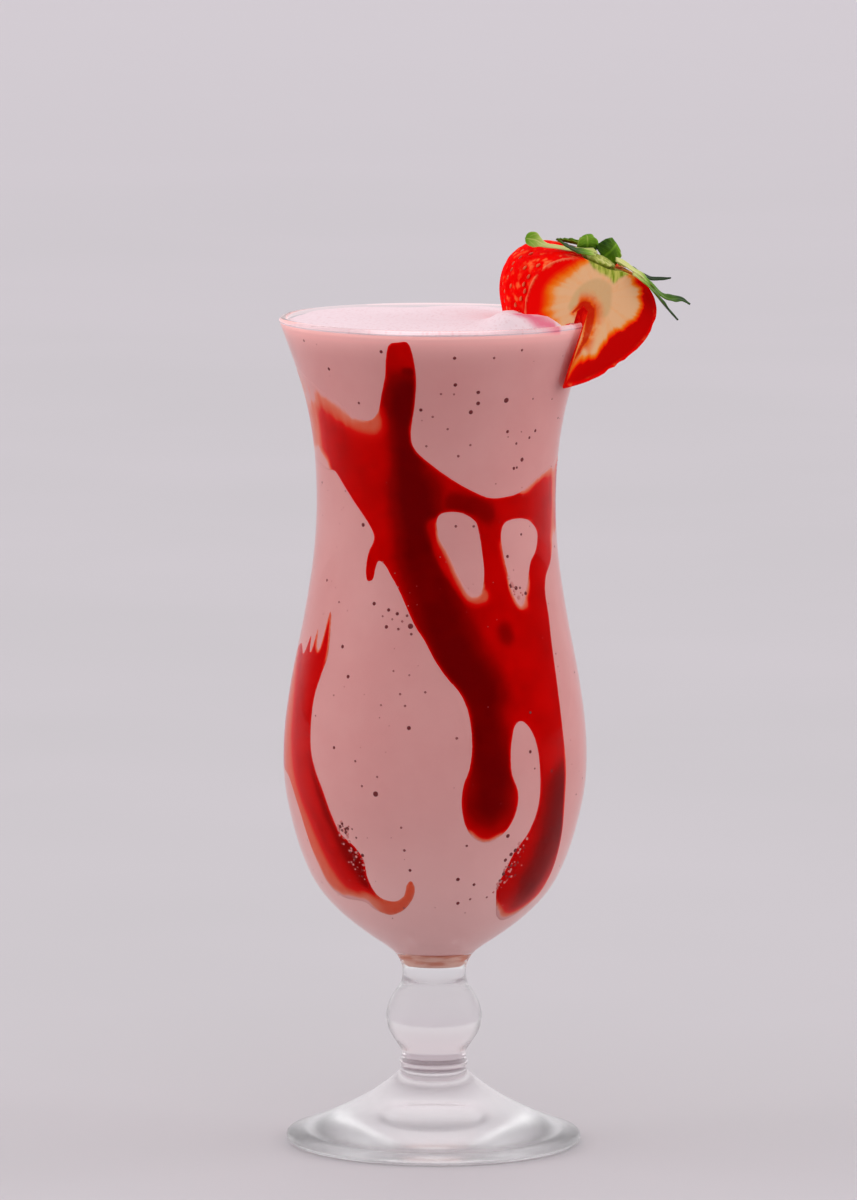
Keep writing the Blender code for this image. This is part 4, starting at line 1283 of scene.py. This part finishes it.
def makeLeaf(node, look, path, width, fold, shades, lift=leafShape["lift"], sides=None,
             sideShade=0.0, ripple=leafShape["ripple"]):
    # tilt of the shading: painted shade, paler to one side and darker to the other; ripple: how
    # crinkled its edge is
    shape = leafShape
    steps = shape["stepsAlong"]
    middle = smoothLine([(x, -y, z) for x, z, y in path], steps)
    widths = [spot[0] for spot in smoothLine([(value, 0.0) for value in width], steps)]
    across = np.linspace(-1, 1, shape["stepsAcross"] + 1)
    count = len(middle)
    layers = ([], [])
    marks = []
    for i, spot in enumerate(middle):
        share = i / (count - 1)
        run = (middle[min(i + 1, count - 1)] - middle[max(i - 1, 0)]).normalized()
        side = run.cross(Vector((0, lift, 1)))
        if sides:
            side = Vector(sides[0]).lerp(Vector(sides[1]), share)
        side = (side - run * side.dot(run)).normalized()
        up = side.cross(run).normalized()
        closing = max(0.0, (share - 1 + shape["roundTip"]) / shape["roundTip"])
        half = max(widths[i] / 2 * sqrt(max(0.0, 1 - closing ** 2)), 0.1)
        rise = fold * half / 2 * (1 + shape["wave"][0] * sin(shape["wave"][1] * i * 2 / steps))
        shade = np.interp(share * (len(shades) - 1), range(len(shades)), shades)
        for place in across:
            crinkle = ripple * half * abs(place) * sin(share * 31 + place * 4 + len(node))
            groove = 0.05 * (1 - ease(abs(place), 0.0, 0.16))
            thick = shape["thick"] / 2 * (1 - 0.55 * place * place)
            point = spot + side * half * place + up * (rise * abs(place) + crinkle)
            layers[0].append(tuple(point + up * (thick - groove)))
            layers[1].append(tuple(point - up * (thick - groove * 0.5)))
            marks.append((shade + sideShade * place, abs(place), share))
    points = transformed(berryFrame(), np.array(layers[0] + layers[1]))
    leaf = meshPiece(node + "_leaf", points, leafFaces(count, len(across)))
    for name, values in zip(("shade", "across", "along"), np.array(marks * 2).T):
        storeValues(leaf, name, values)
    tidyShell(leaf, merge=False)
    finishPiece(leaf, look, "leaf", node)


def leafLook():
    look = Recipe("sepal", Roughness=0.45, Specular_IOR_Level=0.15)
    place = look.place()
    across, along = look.attribute("across"), look.attribute("along")
    veins = (across * 9.0 + along * 40.0).sine().ramp(0.55, 1.0) * across.ramp(0.1, 0.4)
    ridge = 1 - across.ramp(0.02, 0.16)
    blotch = look.noise(place, 260.0, 3.0)
    shade = look.attribute("shade") + (blotch - 0.5) * 0.25 + ridge * 0.14 + veins * 0.06
    look.put("Base Color", look.colours(shade + across.ramp(0.8, 1.0) * 0.1,
                                        leafShape["tints"]))
    look.bump(look.noise(place, 1500.0, 2.0) + veins * 0.5, 0.0001, 0.5)
    return look


# air bubbles in the drink, against the glass

bubbleShape = {
    "sides": 10,
    "radius": 0.46,
    "proud": 0.27,
    "seen": [               # angle, height, size
    (7.1, 199.3, 1), (35.5, 200.8, 0.8), (8, 192.5, 1.1), (1.9, 190.2, 0.7), (18.5, 190.5, 1.1),
    (19, 187.7, 1.2), (15.9, 185.5, 1.3), (32.9, 188.2, 1.6), (48.6, 188.1, 0.6),
    (-1.8, 184.4, 0.7), (-7.2, 186.1, 1), (5.3, 181.3, 0.7), (36.1, 180.2, 1), (54.8, 179.8, 1),
    (51, 178.2, 0.9), (42.4, 177, 0.8), (16.7, 177.2, 0.7), (-4.9, 177, 0.7), (10.8, 174.5, 0.8),
    (47.3, 172.8, 1.3), (42.1, 170.8, 1), (-51.3, 195.3, 1), (-22.4, 200.6, 1),
    (-37.7, 187.2, 0.8), (-39.8, 156.7, 1.2), (10, 157.1, 0.8), (19.3, 157, 0.8),
    (48, 154.2, 0.8), (38.2, 149.1, 1), (-64.8, 141.8, 0.9), (-30.4, 137.7, 1.1),
    (-22.6, 136.4, 1), (-18.2, 135.6, 1), (-13.4, 135.2, 0.8), (-11.6, 132.7, 1.6),
    (-23.1, 132.3, 1.1), (-17.3, 131.9, 0.8), (-11.1, 130.8, 0.8), (-45.6, 126.6, 1.1),
    (-40, 119.6, 1.1), (-18.3, 121.8, 0.6), (-11.2, 120.9, 0.6), (-14.8, 116.3, 0.7),
    (-4.2, 116.9, 0.7), (-12.5, 113.5, 0.7), (-10.6, 108.2, 1.2), (8.6, 105.8, 0.8),
    (-43.9, 102.1, 0.9), (-33.1, 99.4, 0.7), (-24.1, 91.7, 1.6), (-30.1, 93.4, 0.7),
    (-13.9, 83.6, 0.7), (-13.1, 77.8, 0.8), (-11.2, 72.7, 0.9), (11, 70.4, 1.1),
    (19.3, 68.9, 0.9), (12.7, 64.1, 1), (40.7, 101.5, 1),
    (-20.5, 134.2, 0.6), (-15.6, 133.8, 0.7), (-25.4, 134.8, 0.6), (-13.0, 137.6, 0.6),
    (41.9, 111.0, 1.5), (52.4, 96.1, 1.5), (32.1, 81.0, 1.2), (42.1, 141.2, 1.2),
    ],
    "ragged": [             # bubbly edges: from, to, spread and number
        ((-43.0, 83.0), (-34.5, 71.4), 1.7, 60),
        ((41.4, 78.5), (33.0, 66.5), 1.4, 50),
        ((38, 143), (46, 139.5), 1.6, 16),
    ],
    "scattered": 260,
    "tints": {              # where faint, and where strong
        "air_bubbles": (tone(206, 138, 136), tone(126, 60, 62)),
        "pale_froth": (tone(196, 92, 84), tone(226, 150, 146)),
    },
}


def bubbleRows():
    # angle, height and size of every bubble, by kind
    shape = bubbleShape
    dice = np.random.default_rng(11)
    rows = {"air_bubbles": list(shape["seen"]), "pale_froth": []}
    for (a0, h0), (a1, h1), spread, number in shape["ragged"]:
        for i in range(number):
            t = dice.uniform()
            angle = a0 + (a1 - a0) * t + dice.normal() * spread / 0.6
            height = h0 + (h1 - h0) * t + dice.normal() * spread * 0.7
            kind = "pale_froth" if i % 5 < 3 else "air_bubbles"
            rows[kind].append((angle, height, dice.uniform(0.5, 1.3)))
    for _ in range(shape["scattered"]):
        rows["air_bubbles"].append((dice.uniform(-180, 180), dice.uniform(58, 202),
                                    0.28 + 0.5 * dice.uniform() ** 3))
    return rows


def beadPoints(angle, height, radius):
    # three rings from the bead's face inwards, then the middles of its face and back
    proud = bubbleShape["proud"]
    turn = np.arange(bubbleShape["sides"]) * 2 * pi / bubbleShape["sides"]
    reach = np.interp(height, insideHeights, insideRadii)
    points = []
    for share, depth in ((0.5, proud), (1.0, 0.06), (1.0, -0.3)):
        spin = np.degrees(radius * share * np.cos(turn) / reach)
        points += roundWall(angle + spin, height + radius * share * np.sin(turn), -depth).tolist()
    return points + roundWall(np.array([angle, angle]), np.array([height, height]),
                              np.array([-proud - 0.01, 0.3])).tolist()


def makeBubbles():
    # flat beads set in the drink's face: dark ones, and pale froth at the ragged edges
    shape = bubbleShape
    sides = shape["sides"]
    rows = bubbleRows()
    for name, bubbles in rows.items():
        points, faces, values = [], [], []
        for angle, height, size in bubbles:
            start = len(points)
            points += beadPoints(angle, height, shape["radius"] * size)
            for k in range(sides):
                n = (k + 1) % sides
                for ring in (0, 1):
                    a = start + ring * sides
                    faces.append((a + n, a + k, a + sides + k, a + sides + n))
                faces.append((start + k, start + n, start + 3 * sides))
                faces.append((start + 2 * sides + n, start + 2 * sides + k,
                              start + 3 * sides + 1))
            values += [min(1.0, size)] * (3 * sides + 2)
        piece = meshPiece(name, points, faces)
        storeValues(piece, "strength", values)
        tidyShell(piece, merge=False)
        look = Recipe(name, Roughness=0.5, Specular_IOR_Level=0.0)
        mottle = (look.noise(look.place(), 800.0, 2.0) - 0.5) * 0.3
        look.put("Base Color", look.mottle(look.attribute("strength") + mottle, 0.3, 1.0,
                                           shape["tints"][name]))
        finishPiece(piece, look, "milkshake")
    print("bubbles made:", sum(len(bubbles) for bubbles in rows.values()))


# stage, lights and camera

stageShape = {
    "floorHalf": 9.0,
    "floorDrop": 0.0002,
    "floorColour": tone(194, 190, 193),
    "cloudColour": tone(198, 193, 197),
    "farLitColour": tone(220, 214, 219),
    "farReach": (0.4, 5.0),
    "skyColour": (1.0, 0.975, 1.0),
    "skyBack": 0.78,        # strength along the horizon behind
    "skyTop": 0.98,         # overhead
    "skyDim": 0.2,          # to the front and the sides
}

lampRows = {                # place, turn round the glass, size across and up, watts
    "front_lamp": ((0.0, -3.4, 1.2), 0.0, (4.6, 2.6), 13.0),
    "left_lamp": ((-2.6, 0.1, 1.0), -90.0, (3.0, 2.2), 39.0),
    "right_lamp": ((2.6, 0.1, 1.0), 90.0, (3.0, 2.2), 39.0),
}


def makeStage():
    shape = stageShape
    deselectAll()
    bpy.ops.mesh.primitive_plane_add(size=2 * shape["floorHalf"],
                                     location=(0, 0, -shape["floorDrop"]))
    floor = bpy.context.object
    floor.name = "floor"
    look = Recipe("pale_floor", Roughness=0.6, Specular_IOR_Level=0.2)
    cloud = look.noise(look.place(), 3.0, 3.0).ramp(0.3, 0.7)
    away, = look.split(look.place(), "Y")
    away = away.ramp(*shape["farReach"])
    near = look.mix(cloud, shape["floorColour"], shape["cloudColour"])
    # painted light: the floor grows paler far behind, as if more brightly lit there
    look.put("Base Color", look.mix(away, near, shape["farLitColour"]))
    floor.data.materials.append(look.material)


class Sky(Recipe):
    # the world's nodes, with the same expressions
    def __init__(self, name):
        self.world = bpy.data.worlds.new(name)
        self.world.use_nodes = True
        self.tree = self.world.node_tree
        self.shader = self.tree.nodes["Background"]


def makeSky():
    # bright behind and overhead, dim elsewhere, where the soft lamps take over
    shape = stageShape
    sky = Sky("soft_room")
    bpy.context.scene.world = sky.world
    y, z = sky.split(sky.node("ShaderNodeTexCoord", output="Generated"), "YZ")
    top = z.ramp(0.12, 0.7)
    lit = y.ramp(0.4, 0.85).most(top)
    sky.put("Color", shape["skyColour"])
    sky.put("Strength", lit * (shape["skyBack"] - shape["skyDim"]) + shape["skyDim"]
            + top * (shape["skyTop"] - shape["skyBack"]))


def makeLamps():
    # broad and soft; they light the drink and leave no shine on the glass
    for name, (place, turn, size, watts) in lampRows.items():
        deselectAll()
        bpy.ops.object.light_add(type="AREA", location=place,
                                 rotation=(radians(90), 0, radians(turn)))
        lamp = bpy.context.object
        lamp.name = name
        lamp.data.shape = "RECTANGLE"
        lamp.data.size, lamp.data.size_y = size
        lamp.data.energy = watts
        lamp.visible_glossy = False


cameraShape = {
    "place": (0.0, -2.412, 0.430),
    "aim": (-0.0018, 0.0, 0.1356),
    "roll": 0.24,
    "lens": 294.5,
}


def makeCamera():
    shape = cameraShape
    lens = bpy.data.cameras.new("camera")
    lens.lens = shape["lens"]
    holder = bpy.data.objects.new("camera", lens)
    bpy.context.scene.collection.objects.link(holder)
    holder.location = shape["place"]
    look = (Vector(shape["aim"]) - Vector(shape["place"])).to_track_quat("-Z", "Y").to_matrix()
    holder.rotation_euler = (look @ Matrix.Rotation(radians(shape["roll"]), 3, "Z")).to_euler()
    bpy.context.scene.camera = holder
    bpy.context.scene.view_settings.view_transform = "Standard"


makeGlass()
makeDrink()
makePool()
sauceFinish = sauceLook()
makeSauce("sauce_swirl_body", "sauce_swirl", swirlOutline, swirlHoles, sauceFinish)
makeSauce("sauce_streak_body", "sauce_streak", streakOutline, [], sauceFinish)
makeBubbles()
makeBerry()
makeCalyx()
sepalFinish = leafLook()
for node, row in leafRows.items():
    makeLeaf(node, sepalFinish, **row)
print("leaves made")
makeStage()
makeSky()
makeLamps()
makeCamera()
print("floor, light and camera made")
